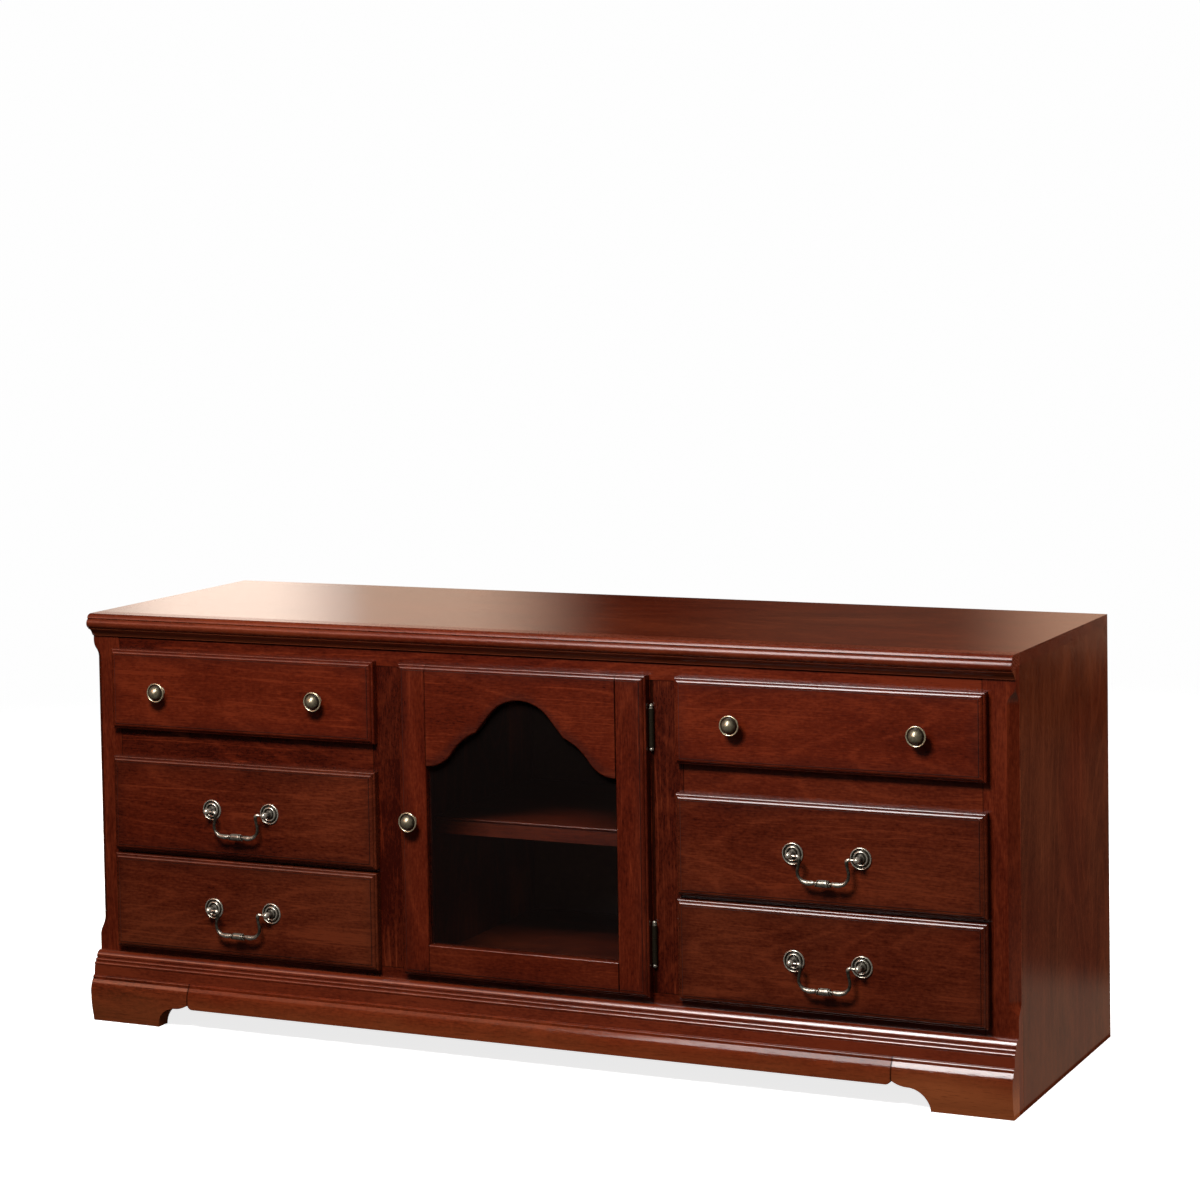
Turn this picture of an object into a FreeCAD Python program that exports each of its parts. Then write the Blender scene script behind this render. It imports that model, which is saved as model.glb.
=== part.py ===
"""Media cabinet: a face-framed wooden carcase with six lipped drawers and a glazed centre door.

Millimetres, +Z up, +X to the right, the front towards -Y. The origin is the middle of the
footprint, on the floor. Most sizes across the depth are a reach: the distance in front of the
front frame's face, so what lies behind that face has a negative reach.
"""
import FreeCAD
import Part
import math
import os

Vector = FreeCAD.Vector

# Overall size
CABINET_WIDTH = 1575.0
CABINET_HEIGHT = 672.0
CARCASE_DEPTH = 480.0

# Boards
BOARD = 18.0
TOP_THICKNESS = 18.0
FRAME_THICKNESS = 19.0
BACK_THICKNESS = 6.0
BACK_INSET = 4.0
PARTITION_SETBACK = 13.0

# Small step between two mouldings
FILLET = 0.9

# Front frame
STILE_WIDTH = 50.0
MULLION_WIDTH = 62.0
DOOR_OPENING = 408.0
TOP_RAIL_HEIGHT = 46.0
BOTTOM_RAIL_LOW = 50.0
BOTTOM_RAIL_TOP = 129.0
LOWER_OPENING_SHARE = 0.357
LOWER_RAIL = 29.0
MIDDLE_OPENING_SHARE = 0.347
MIDDLE_RAIL = 61.0
CHAMFER_LEG = 14.0
CHAMFER_LOW = 166.0
CHAMFER_TOP_DROP = 75.0
CHAMFER_RUNOUT = 30.0

# Nosing along the top's front edge, and the cove under it
TOP_FLAT_REACH = 9.9
NOSE_HEIGHT = 23.0
NOSE_REACH = 20.7
OVOLO_REACH = 17.6
OVOLO_DROP = 6.6
NOTCH_REACH = 16.4
NOTCH_DROP = 8.4
QUIRK = 0.8
COVE_HEIGHT = 14.0
COVE_REACH = 15.0
COVE_FILLET = 2.2
COVE_HOLLOW = 1.6

# Base: moulding with a fascia band, and the foot and apron pieces below it
BASE_TOP = 113.0
FOOT_HEIGHT = 75.0
BASE_SECTION = [
    (0.0, 0.0),
    (2.2, 0.0),
    ((10.2, 2.6), (13.6, 9.6)),
    (12.6, 10.4),
    (12.6, 11.6),
    (14.9, 11.6),
    ((17.0, 13.2), (16.6, 16.0)),
    (16.6, 17.2),
    (18.4, 17.2),
    ((20.2, 18.8), (20.0, 21.4)),
    (19.4, 22.4),
]
BAND_TOP_REACH = 20.4
BAND_LOW_REACH = 22.0
STEP_BEAD = 3.4
STEP_REACH = 26.0
STEP_DROP = 6.0
TORUS_REACH = 33.0
TORUS_HEIGHT = 46.0
TORUS_SHOULDER = 4.5
ANKLE_REACH = 28.0
ANKLE_HEIGHT = 10.0
ANKLE_SWELL = 1.3
SOLE_REACH = 26.0
FOOT_LENGTH = 185.0
SOLE_LENGTH = 126.0
FOOT_COVE = 34.0
SEAM_RISE = 42.0
SEAM_SWELL = 2.0
APRON_RISE = 35.0
APRON_CURL = 9.0
GLUE_BLOCK = 40.0
GLUE_BLOCK_LENGTH = 80.0
GLUE_BLOCK_SPACING = 400.0
GLUE_BLOCK_COUNT = 4

# Overlaid fronts and their moulded edge
OVERLAY = 8.0
BOTTOM_OVERLAY = 4.5
FRONT_SPACING = 6.0
SEAT_GAP = 0.3
FRONT_THICKNESS = 17.7
LIP_WIDTH = 9.0
LIP_DEPTH = 7.0
LIP_ROUND = 2.4
LIP_LEDGE = 3.2
LIP_SWELL = 1.0

# Drawer boxes and their runners
BOX_BACK_CLEARANCE = 45.0
BOX_BOARD = 12.0
BOX_SIDE_CLEARANCE = 3.0
BOX_HEADROOM = 14.0
DRAWER_BOTTOM = 5.0
DRAWER_BOTTOM_RAISE = 10.0
GROOVE_DEPTH = 5.0
GROOVE_CLEARANCE = 0.1
RUNNER_RISE = 6.0
RUNNER_THICKNESS = 14.0
GUIDE_HEIGHT = 20.0
GUIDE_CLEARANCE = 0.5

# Door
DOOR_GAP = 2.0
DOOR_THICKNESS = 18.5
DOOR_STILE = 49.0
DOOR_BOTTOM_RAIL = 51.0
CROWN_DROP = 48.5
CUSP_X = 75.0
CUSP_DROP = 53.5
FLANK_ANGLE = 50.5
SPRING_DROP = 111.0
TURN_RUN = 0.48
TURN_FALL = 0.59
SHOULDER_SWELL = 0.045
SPRING_HOLLOW = 0.075
WINDOW_ROUND = 2.5
REBATE_WIDTH = 8.0
REBATE_DEPTH = 8.0
GLASS_THICKNESS = 4.0

# Hinges
HINGE_INSET = 80.0
HINGE_HEIGHT = 58.0
KNUCKLE_RADIUS = 4.0
KNUCKLE_GAP = 0.5
DOOR_KNUCKLE = 20.0
PIN_RADIUS = 2.0
RUNNING_CLEARANCE = 0.05
FINIAL_RADIUS = 3.2
FINIAL_NECK = 1.6
LEAF_THICKNESS = 1.5
LEAF_WIDTH = 26.0
WRAP_DEPTH = 17.0

# Magnetic catch
CATCH_WIDTH = 14.0
CATCH_HEIGHT = 44.0
CATCH_REACH = 0.5
CATCH_PLATE = 1.2
CATCH_PLATE_WIDTH = 10.0
CATCH_PLATE_HEIGHT = 30.0
CATCH_DROP = 110.0

# Shelf
SHELF_TOP = 352.0
SHELF_SETBACK = 110.0
SHELF_CLEARANCE = 0.5
EDGE_DEPTH = 20.0
EDGE_HEIGHT = 27.0
EDGE_BEAD = 5.0
SHELF_PIN_RADIUS = 3.0
SHELF_PIN_DEPTH = 10.0
SHELF_TAB = 10.0
SHELF_TAB_HEIGHT = 6.0
SHELF_TAB_WIDTH = 12.0
SHELF_PIN_SETBACK = 50.0

# Knobs and bail pulls
STUD_RADIUS = 2.0
STUD_LENGTH = 26.0
KNOB_SPACING = 292.0
KNOB_PROJECTION = 27.0
KNOB_RADIUS = 15.85
KNOB_RIM_BACK = 14.5
KNOB_NECK = 5.2
KNOB_BASE = 7.5
KNOB_DOME = 12.6
POST_SPACING = 107.0
POST_REACH = 17.0
POST_RADIUS = 4.0
HEAD_RADIUS = 6.0
ROSETTE_RADIUS = 17.0
ROSETTE_HEIGHT = 4.5
ROD_RADIUS = 2.5
STUB_RADIUS = 2.25
STUB_DEPTH = 7.0
STUB_SHOULDER = 1.5
BAIL_DROP = 38.0
ELBOW_X = 37.0
ELBOW_RADIUS = 4.0
BOW_X = 42.0
BOW_RADIUS = 18.0
BARREL_RADIUS = 5.0
BARREL_LENGTH = 22.0
BARREL_CHAMFER = 1.0
BARREL_GROOVE = 1.6
SWELL_RADIUS = 4.2

# Back panel's cable holes and screws
CABLE_RADIUS = 30.0
SCREW_RADIUS = 1.75
SCREW_HEAD_RADIUS = 3.5
SCREW_HEAD_HEIGHT = 2.2
SCREW_LENGTH = 22.0
SCREW_ROWS = 4
SCREW_COLUMNS = 6
SCREW_MARGIN = 60.0

# Places worked out from the sizes above
HALF_WIDTH = CABINET_WIDTH / 2
SIDE_INNER = HALF_WIDTH - BOARD
TOP_UNDERSIDE = CABINET_HEIGHT - TOP_THICKNESS
STILE_INNER = HALF_WIDTH - STILE_WIDTH
MULLION_INNER = DOOR_OPENING / 2
MULLION_OUTER = MULLION_INNER + MULLION_WIDTH
PARTITION_INNER = MULLION_INNER + PARTITION_SETBACK
PARTITION_OUTER = PARTITION_INNER + BOARD
BAY_CENTRE = (MULLION_OUTER + STILE_INNER) / 2
FRAME_BACK = -FRAME_THICKNESS
BACK_REAR = BACK_INSET - CARCASE_DEPTH
BACK_FRONT = BACK_REAR + BACK_THICKNESS
NOSE_BOTTOM = CABINET_HEIGHT - NOSE_HEIGHT
TOP_RAIL_LOW = TOP_UNDERSIDE - TOP_RAIL_HEIGHT
DRAWER_OPENINGS = TOP_RAIL_LOW - BOTTOM_RAIL_TOP - LOWER_RAIL - MIDDLE_RAIL
LOWER_RAIL_LOW = BOTTOM_RAIL_TOP + LOWER_OPENING_SHARE * DRAWER_OPENINGS
LOWER_RAIL_TOP = LOWER_RAIL_LOW + LOWER_RAIL
MIDDLE_RAIL_LOW = LOWER_RAIL_TOP + MIDDLE_OPENING_SHARE * DRAWER_OPENINGS
MIDDLE_RAIL_TOP = MIDDLE_RAIL_LOW + MIDDLE_RAIL
BOTTOM_UNDERSIDE = BOTTOM_RAIL_TOP - BOARD
SHELF_UNDERSIDE = SHELF_TOP - BOARD
DRAWER_FACE = SEAT_GAP + FRONT_THICKNESS
DOOR_FACE = DOOR_GAP + DOOR_THICKNESS
DOOR_HALF = MULLION_INNER + OVERLAY
DOOR_LOW = BOTTOM_RAIL_TOP - BOTTOM_OVERLAY
DOOR_TOP = TOP_RAIL_LOW + OVERLAY
WINDOW_HALF = DOOR_HALF - DOOR_STILE
WINDOW_LOW = DOOR_LOW + DOOR_BOTTOM_RAIL
WINDOW_CROWN = DOOR_TOP - CROWN_DROP
REBATE_REACH = DOOR_GAP + REBATE_DEPTH
HINGE_X = DOOR_HALF + KNUCKLE_RADIUS + KNUCKLE_GAP
HINGE_REACH = KNUCKLE_RADIUS
HINGE_HEIGHTS = (DOOR_LOW + HINGE_INSET, DOOR_TOP - HINGE_INSET)
FRONT_REACH = max(DOOR_FACE, DRAWER_FACE) + KNOB_PROJECTION
FACE_Y = (FRONT_REACH - CARCASE_DEPTH) / 2
SIDES = {"left": -1, "right": 1}
OVERCUT = 1.0
SAME_PLACE = 0.01

# Each row of drawers: low and high edge of its opening, then of its front
RAIL_CENTRE = (LOWER_RAIL_LOW + LOWER_RAIL_TOP) / 2
DRAWER_ROWS = {
    "lower": (BOTTOM_RAIL_TOP, LOWER_RAIL_LOW, DOOR_LOW, RAIL_CENTRE - FRONT_SPACING / 2),
    "middle": (LOWER_RAIL_TOP, MIDDLE_RAIL_LOW, RAIL_CENTRE + FRONT_SPACING / 2, MIDDLE_RAIL_LOW + OVERLAY),
    "upper": (MIDDLE_RAIL_TOP, TOP_RAIL_LOW, MIDDLE_RAIL_TOP - OVERLAY, DOOR_TOP),
}


def point(x, reach, z):
    return Vector(x, FACE_Y - reach, z)


def block(x, reach, z):
    """Box between two places along each direction, given in either order."""
    low = Vector(min(x), FACE_Y - max(reach), min(z))
    return Part.makeBox(abs(x[1] - x[0]), abs(reach[1] - reach[0]), abs(z[1] - z[0]), low)


def mirrored_span(side, near, far):
    return (side * near, side * far)


def bow(start, end, rise):
    """Arc step from start to end that rises to the left of the straight line between them."""
    length = math.dist(start, end)
    left = ((start[1] - end[1]) / length, (end[0] - start[0]) / length)
    through = tuple((a + b) / 2 + rise * n for a, b, n in zip(start, end, left))
    return (through, end)


def path_edges(path, place):
    """Edges along a path; a plain point is a line to it, and a pair is an arc through one to the other."""
    here = place(*path[0])
    edges = []
    for step in path[1:]:
        if isinstance(step[0], tuple):
            through = place(*step[0])
            end = place(*step[1])
            edges.append(Part.Arc(here, through, end).toShape())
        else:
            end = place(*step)
            edges.append(Part.LineSegment(here, end).toShape())
        here = end
    return edges


def outline_face(outline, place):
    return Part.Face(Part.Wire(path_edges(outline + [outline[0]], place)))


def moulding(section, x_start, x_end):
    """A section of (reach, height) run along the cabinet's width."""
    face = outline_face(section, lambda reach, z: point(x_start, reach, z))
    return face.extrude(Vector(x_end - x_start, 0, 0))


def front_shape(outline, back, front):
    """An outline of (x, height) given thickness from one reach to another."""
    face = outline_face(outline, lambda x, z: point(x, back, z))
    return face.extrude(Vector(0, back - front, 0))


def turned(section, origin, axis, radial):
    """A section of (distance along the axis, radius) turned a full circle about the axis."""
    face = outline_face(section, lambda along, radius: origin + axis * along + radial * radius)
    return face.revolve(origin, axis, 360)


def dome(rim, radius, rise):
    """Arc step of a turned section, from a dome's rim to its crown on the axis."""
    sphere = (radius ** 2 + rise ** 2) / (2 * rise)
    half_angle = math.atan2(rise, radius)
    crown = rim + rise
    through = (crown - sphere * (1 - math.cos(half_angle)), sphere * math.sin(half_angle))
    return (through, (crown, 0))


def cylinder(radius, start, axis, length):
    return Part.makeCylinder(radius, length, start, axis)


def lip_section(edge, inward, face):
    """What is cut from a board's edge to leave its lip: outer round, ledge, ovolo and small fillet."""
    shoulder = face - LIP_DEPTH
    ledge = shoulder + LIP_ROUND
    slack = LIP_ROUND * (1 - math.sqrt(0.5))
    ovolo_start = (edge + inward * LIP_LEDGE, ledge + FILLET)
    ovolo_end = (edge + inward * (LIP_WIDTH - FILLET), face - FILLET)
    return [
        (edge, shoulder),
        ((edge + inward * slack, ledge - slack), (edge + inward * LIP_ROUND, ledge)),
        (edge + inward * LIP_LEDGE, ledge),
        ovolo_start,
        bow(ovolo_start, ovolo_end, inward * LIP_SWELL),
        (edge + inward * LIP_WIDTH, face - FILLET),
        (edge + inward * LIP_WIDTH, face),
        (edge + inward * LIP_WIDTH, face + OVERCUT),
        (edge - inward * OVERCUT, face + OVERCUT),
        (edge - inward * OVERCUT, shoulder),
    ]


def lipped_board(x, reach, z):
    """A front with its moulded lip along all four edges, mitred at the corners."""
    board = block(x, reach, z)
    face = max(reach)
    width = max(x) - min(x)
    height = max(z) - min(z)
    for edge, inward in ((min(x), 1), (max(x), -1)):
        section = lip_section(edge, inward, face)
        upright = outline_face(section, lambda a, r: point(a, r, min(z) - OVERCUT))
        board = board.cut(upright.extrude(Vector(0, 0, height + 2 * OVERCUT)))
    for edge, inward in ((min(z), 1), (max(z), -1)):
        section = lip_section(edge, inward, face)
        level = outline_face(section, lambda a, r: point(min(x) - OVERCUT, r, a))
        board = board.cut(level.extrude(Vector(width + 2 * OVERCUT, 0, 0)))
    return board


def top_panel():
    return block((-HALF_WIDTH, HALF_WIDTH), (-CARCASE_DEPTH, FRAME_BACK), (TOP_UNDERSIDE, CABINET_HEIGHT))


def top_nosing():
    """Front strip of the top: a quirked ovolo, a notch and a bullnose."""
    top = CABINET_HEIGHT
    ovolo_start = (TOP_FLAT_REACH + QUIRK, top - QUIRK)
    ovolo_end = (OVOLO_REACH, top - OVOLO_DROP)
    notch = (NOTCH_REACH, top - NOTCH_DROP)
    nose_middle = top - (NOTCH_DROP + NOSE_HEIGHT) / 2
    section = [
        (FRAME_BACK, top),
        (TOP_FLAT_REACH, top),
        (TOP_FLAT_REACH, top - QUIRK),
        ovolo_start,
        bow(ovolo_start, ovolo_end, (OVOLO_DROP - QUIRK) / 4),
        (NOTCH_REACH, top - OVOLO_DROP - QUIRK),
        notch,
        ((NOSE_REACH, nose_middle), (NOTCH_REACH, NOSE_BOTTOM)),
        (0, NOSE_BOTTOM),
        (0, TOP_UNDERSIDE),
        (FRAME_BACK, TOP_UNDERSIDE),
    ]
    return moulding(section, -HALF_WIDTH, HALF_WIDTH)


def cove_moulding():
    low = NOSE_BOTTOM - COVE_HEIGHT
    cove_start = (COVE_REACH - COVE_FILLET / 2, NOSE_BOTTOM - COVE_FILLET)
    cove_end = (2 * COVE_FILLET, low + COVE_FILLET)
    section = [
        (0, NOSE_BOTTOM),
        (COVE_REACH, NOSE_BOTTOM),
        (COVE_REACH, NOSE_BOTTOM - COVE_FILLET),
        cove_start,
        bow(cove_start, cove_end, -COVE_HOLLOW),
        (1.5 * COVE_FILLET, low + COVE_FILLET),
        (1.5 * COVE_FILLET, low),
        (0, low),
    ]
    return moulding(section, -HALF_WIDTH, HALF_WIDTH)


def side_panel(side):
    span = mirrored_span(side, SIDE_INNER, HALF_WIDTH)
    return block(span, (-CARCASE_DEPTH, FRAME_BACK), (0, TOP_UNDERSIDE))


def partition(side):
    span = mirrored_span(side, PARTITION_INNER, PARTITION_OUTER)
    board = block(span, (BACK_FRONT, FRAME_BACK), (BOTTOM_RAIL_TOP, TOP_UNDERSIDE))
    for reach in shelf_pin_reaches():
        start = point(side * PARTITION_INNER, reach, shelf_pin_height())
        hole = cylinder(SHELF_PIN_RADIUS + RUNNING_CLEARANCE, start, Vector(side, 0, 0), SHELF_PIN_DEPTH)
        board = board.cut(hole)
    return cut_screw_holes(board)


def bottom_panel():
    board = block((-SIDE_INNER, SIDE_INNER), (BACK_FRONT, FRAME_BACK), (BOTTOM_UNDERSIDE, BOTTOM_RAIL_TOP))
    return cut_screw_holes(board)


def back_panel():
    panel = block((-SIDE_INNER, SIDE_INNER), (BACK_REAR, BACK_FRONT), (BOTTOM_UNDERSIDE, TOP_UNDERSIDE))
    for z in cable_heights():
        panel = panel.cut(cylinder(CABLE_RADIUS, point(0, BACK_FRONT, z), Vector(0, 1, 0), BACK_THICKNESS))
    return cut_screw_holes(panel)


def cable_heights():
    """Middle of the bay below the shelf and of the bay above it."""
    return ((BOTTOM_RAIL_TOP + SHELF_UNDERSIDE) / 2, (SHELF_TOP + TOP_UNDERSIDE) / 2)


def screw_places():
    """Screws up the partitions' back edges and along the bottom panel's."""
    column = (PARTITION_INNER + PARTITION_OUTER) / 2
    low = BOTTOM_RAIL_TOP + SCREW_MARGIN
    pitch = (TOP_UNDERSIDE - SCREW_MARGIN - low) / (SCREW_ROWS - 1)
    places = [(side * column, low + row * pitch) for side in SIDES.values() for row in range(SCREW_ROWS)]
    left = SCREW_MARGIN - SIDE_INNER
    stride = -2 * left / (SCREW_COLUMNS - 1)
    row_height = (BOTTOM_UNDERSIDE + BOTTOM_RAIL_TOP) / 2
    return places + [(left + number * stride, row_height) for number in range(SCREW_COLUMNS)]


def cut_screw_holes(board):
    for x, z in screw_places():
        start = point(x, BACK_REAR, z)
        hole = cylinder(SCREW_RADIUS + RUNNING_CLEARANCE, start, Vector(0, -1, 0), SCREW_LENGTH)
        board = board.cut(hole)
    return board


def back_screws():
    section = [
        (SCREW_LENGTH, 0),
        (SCREW_LENGTH - SCREW_HEAD_RADIUS, SCREW_RADIUS),
        (0, SCREW_RADIUS),
        (0, SCREW_HEAD_RADIUS),
        dome(0, SCREW_HEAD_RADIUS, -SCREW_HEAD_HEIGHT),
    ]
    forward = Vector(0, -1, 0)
    return [turned(section, point(x, BACK_REAR, z), forward, Vector(1, 0, 0)) for x, z in screw_places()]


def stile(side):
    """Outer stile, whose corner has a chamfer that runs out in an ogee at both ends."""
    board = block(mirrored_span(side, STILE_INNER, HALF_WIDTH), (FRAME_BACK, 0), (0, TOP_UNDERSIDE))
    depth = CHAMFER_LEG / math.sqrt(2)
    low = CHAMFER_LOW
    high = CABINET_HEIGHT - CHAMFER_TOP_DROP
    half_run = CHAMFER_RUNOUT / 2
    swell = (half_run ** 2 + (depth / 2) ** 2) ** 0.5 * math.tan(math.atan2(depth, CHAMFER_RUNOUT) / 2) / 2
    top_end = (0, high + CHAMFER_RUNOUT)
    top_middle = (-depth / 2, high + half_run)
    low_middle = (-depth / 2, low - half_run)
    low_end = (0, low - CHAMFER_RUNOUT)
    section = [
        top_end,
        bow(top_end, top_middle, swell),
        bow(top_middle, (-depth, high), -swell),
        (-depth, low),
        bow((-depth, low), low_middle, -swell),
        bow(low_middle, low_end, swell),
        (CHAMFER_LEG, low_end[1]),
        (CHAMFER_LEG, top_end[1]),
    ]
    outward = Vector(side, -1, 0).normalize()
    along = Vector(side, 1, 0).normalize()
    corner = point(side * HALF_WIDTH, 0, 0) - along * CHAMFER_LEG
    face = outline_face(section, lambda out, z: corner + outward * out + Vector(0, 0, z))
    return board.cut(face.extrude(along * 2 * CHAMFER_LEG))


def mullion(side):
    span = mirrored_span(side, MULLION_INNER, MULLION_OUTER)
    return block(span, (FRAME_BACK, 0), (BOTTOM_RAIL_TOP, TOP_RAIL_LOW))


def top_rail():
    return block((-STILE_INNER, STILE_INNER), (FRAME_BACK, 0), (TOP_RAIL_LOW, TOP_UNDERSIDE))


def bottom_rail():
    return block((-STILE_INNER, STILE_INNER), (FRAME_BACK, 0), (BOTTOM_RAIL_LOW, BOTTOM_RAIL_TOP))


def drawer_rails():
    heights = ((LOWER_RAIL_LOW, LOWER_RAIL_TOP), (MIDDLE_RAIL_LOW, MIDDLE_RAIL_TOP))
    spans = [mirrored_span(side, MULLION_OUTER, STILE_INNER) for side in SIDES.values()]
    return [block(span, (FRAME_BACK, 0), height) for span in spans for height in heights]


def base_moulding():
    """Bead, two small beads and the fascia band, on top of the feet and apron."""
    section = []
    for step in BASE_SECTION:
        if isinstance(step[0], tuple):
            section.append(tuple((reach, BASE_TOP - drop) for reach, drop in step))
        else:
            section.append((step[0], BASE_TOP - step[1]))
    band_top = section[-1][1]
    section += [(BAND_TOP_REACH, band_top), (BAND_LOW_REACH, FOOT_HEIGHT), (0, FOOT_HEIGHT)]
    return moulding(section, -HALF_WIDTH, HALF_WIDTH)


def foot_section():
    """Section shared by the feet and the apron: a step bead over a torus that draws in to the sole."""
    bead_end = (STEP_REACH, FOOT_HEIGHT - STEP_BEAD)
    torus_start = (STEP_REACH + FILLET, FOOT_HEIGHT - STEP_DROP)
    torus = (TORUS_REACH, TORUS_HEIGHT)
    ankle = (ANKLE_REACH, ANKLE_HEIGHT)
    bead_start = (STEP_REACH - STEP_BEAD, FOOT_HEIGHT)
    return [
        (0, FOOT_HEIGHT),
        bead_start,
        bow(bead_start, bead_end, STEP_BEAD * (1 - math.sqrt(0.5))),
        (STEP_REACH, FOOT_HEIGHT - STEP_DROP),
        torus_start,
        bow(torus_start, torus, TORUS_SHOULDER / 2),
        bow(torus, ankle, ANKLE_SWELL),
        (SOLE_REACH, 0),
        (0, 0),
    ]


def foot(side):
    """Bracket foot: flat sole, a hollow cove and a small swell up to the apron's seam."""
    cove_end = SOLE_LENGTH + FOOT_COVE
    slack = FOOT_COVE * (1 - math.sqrt(0.5))
    outline = [
        (0, 0),
        (SOLE_LENGTH, 0),
        ((SOLE_LENGTH + slack, FOOT_COVE - slack), (cove_end, FOOT_COVE)),
        bow((cove_end, FOOT_COVE), (FOOT_LENGTH, SEAM_RISE), -SEAM_SWELL),
        (FOOT_LENGTH, FOOT_HEIGHT),
        (0, FOOT_HEIGHT),
    ]
    run = moulding(foot_section(), side * (HALF_WIDTH - FOOT_LENGTH), side * HALF_WIDTH)
    face = outline_face(outline, lambda along, z: point(side * (HALF_WIDTH - along), -OVERCUT, z))
    return run.common(face.extrude(Vector(0, -(TORUS_REACH + 2 * OVERCUT), 0)))


def base_apron():
    half = HALF_WIDTH - FOOT_LENGTH
    straight = half - APRON_CURL
    slack = APRON_CURL * (1 - math.sqrt(0.5))
    curl_top = APRON_RISE + APRON_CURL
    outline = [
        (-half, curl_top),
        ((slack - half, APRON_RISE + slack), (-straight, APRON_RISE)),
        (straight, APRON_RISE),
        ((half - slack, APRON_RISE + slack), (half, curl_top)),
        (half, FOOT_HEIGHT),
        (-half, FOOT_HEIGHT),
    ]
    run = moulding(foot_section(), -half, half)
    return run.common(front_shape(outline, -OVERCUT, TORUS_REACH + OVERCUT))


def glue_blocks():
    """Blocks in the corner between the bottom rail and the bottom panel."""
    first = -GLUE_BLOCK_SPACING * (GLUE_BLOCK_COUNT - 1) / 2
    centres = [first + number * GLUE_BLOCK_SPACING for number in range(GLUE_BLOCK_COUNT)]
    reach = (FRAME_BACK - GLUE_BLOCK, FRAME_BACK)
    height = (BOTTOM_UNDERSIDE - GLUE_BLOCK, BOTTOM_UNDERSIDE)
    half = GLUE_BLOCK_LENGTH / 2
    return [block((centre - half, centre + half), reach, height) for centre in centres]


def shelf():
    """Shelf board and its deeper front edge, which has a bead along the top."""
    half = PARTITION_INNER - SHELF_CLEARANCE
    joint = -SHELF_SETBACK - EDGE_DEPTH
    board = block((-half, half), (BACK_FRONT, joint), (SHELF_UNDERSIDE, SHELF_TOP))
    low = SHELF_TOP - EDGE_HEIGHT
    bead_low = SHELF_TOP - EDGE_BEAD
    nose = -SHELF_SETBACK
    section = [
        (joint, SHELF_TOP),
        (nose - EDGE_BEAD / 2, SHELF_TOP),
        ((nose, SHELF_TOP - EDGE_BEAD / 2), (nose - EDGE_BEAD / 2, bead_low)),
        (nose - EDGE_BEAD / 2, bead_low - FILLET),
        (nose - FILLET, bead_low - FILLET),
        (nose - FILLET, low),
        (joint, low),
    ]
    return [board, moulding(section, -half, half)]


def shelf_pin_height():
    return SHELF_UNDERSIDE - SHELF_TAB_HEIGHT / 2


def shelf_pin_reaches():
    front = -SHELF_SETBACK - EDGE_DEPTH - SHELF_PIN_SETBACK
    return (front, BACK_FRONT + SHELF_PIN_SETBACK)


def shelf_pins():
    pins = []
    for side in SIDES.values():
        for reach in shelf_pin_reaches():
            start = point(side * PARTITION_INNER, reach, shelf_pin_height())
            shank = cylinder(SHELF_PIN_RADIUS, start, Vector(side, 0, 0), SHELF_PIN_DEPTH)
            tab = block(
                mirrored_span(side, PARTITION_INNER - SHELF_TAB, PARTITION_INNER),
                (reach - SHELF_TAB_WIDTH / 2, reach + SHELF_TAB_WIDTH / 2),
                (SHELF_UNDERSIDE - SHELF_TAB_HEIGHT, SHELF_UNDERSIDE),
            )
            pins.append(shank.fuse(tab))
    return pins


def box_span(side):
    return mirrored_span(side, MULLION_OUTER + BOX_SIDE_CLEARANCE, STILE_INNER - BOX_SIDE_CLEARANCE)


def drawer_runners():
    """Pairs of L-section runners: each carries one side of a drawer box and guides it."""
    runners = []
    near, far = box_span(1)
    reach = (BACK_FRONT, FRAME_BACK)
    for opening_low, *_ in DRAWER_ROWS.values():
        top = opening_low + RUNNER_RISE
        low = max(top - RUNNER_THICKNESS, BOTTOM_RAIL_TOP)
        for side in SIDES.values():
            for wall, edge, inward in ((PARTITION_OUTER, near, 1), (SIDE_INNER, far, -1)):
                bearing = mirrored_span(side, wall, edge + inward * BOX_BOARD)
                guiding = mirrored_span(side, wall, edge - inward * GUIDE_CLEARANCE)
                bearer = block(bearing, reach, (low, top))
                guide = block(guiding, reach, (top, top + GUIDE_HEIGHT))
                runners.append(bearer.fuse(guide).removeSplitter())
    return runners


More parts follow.
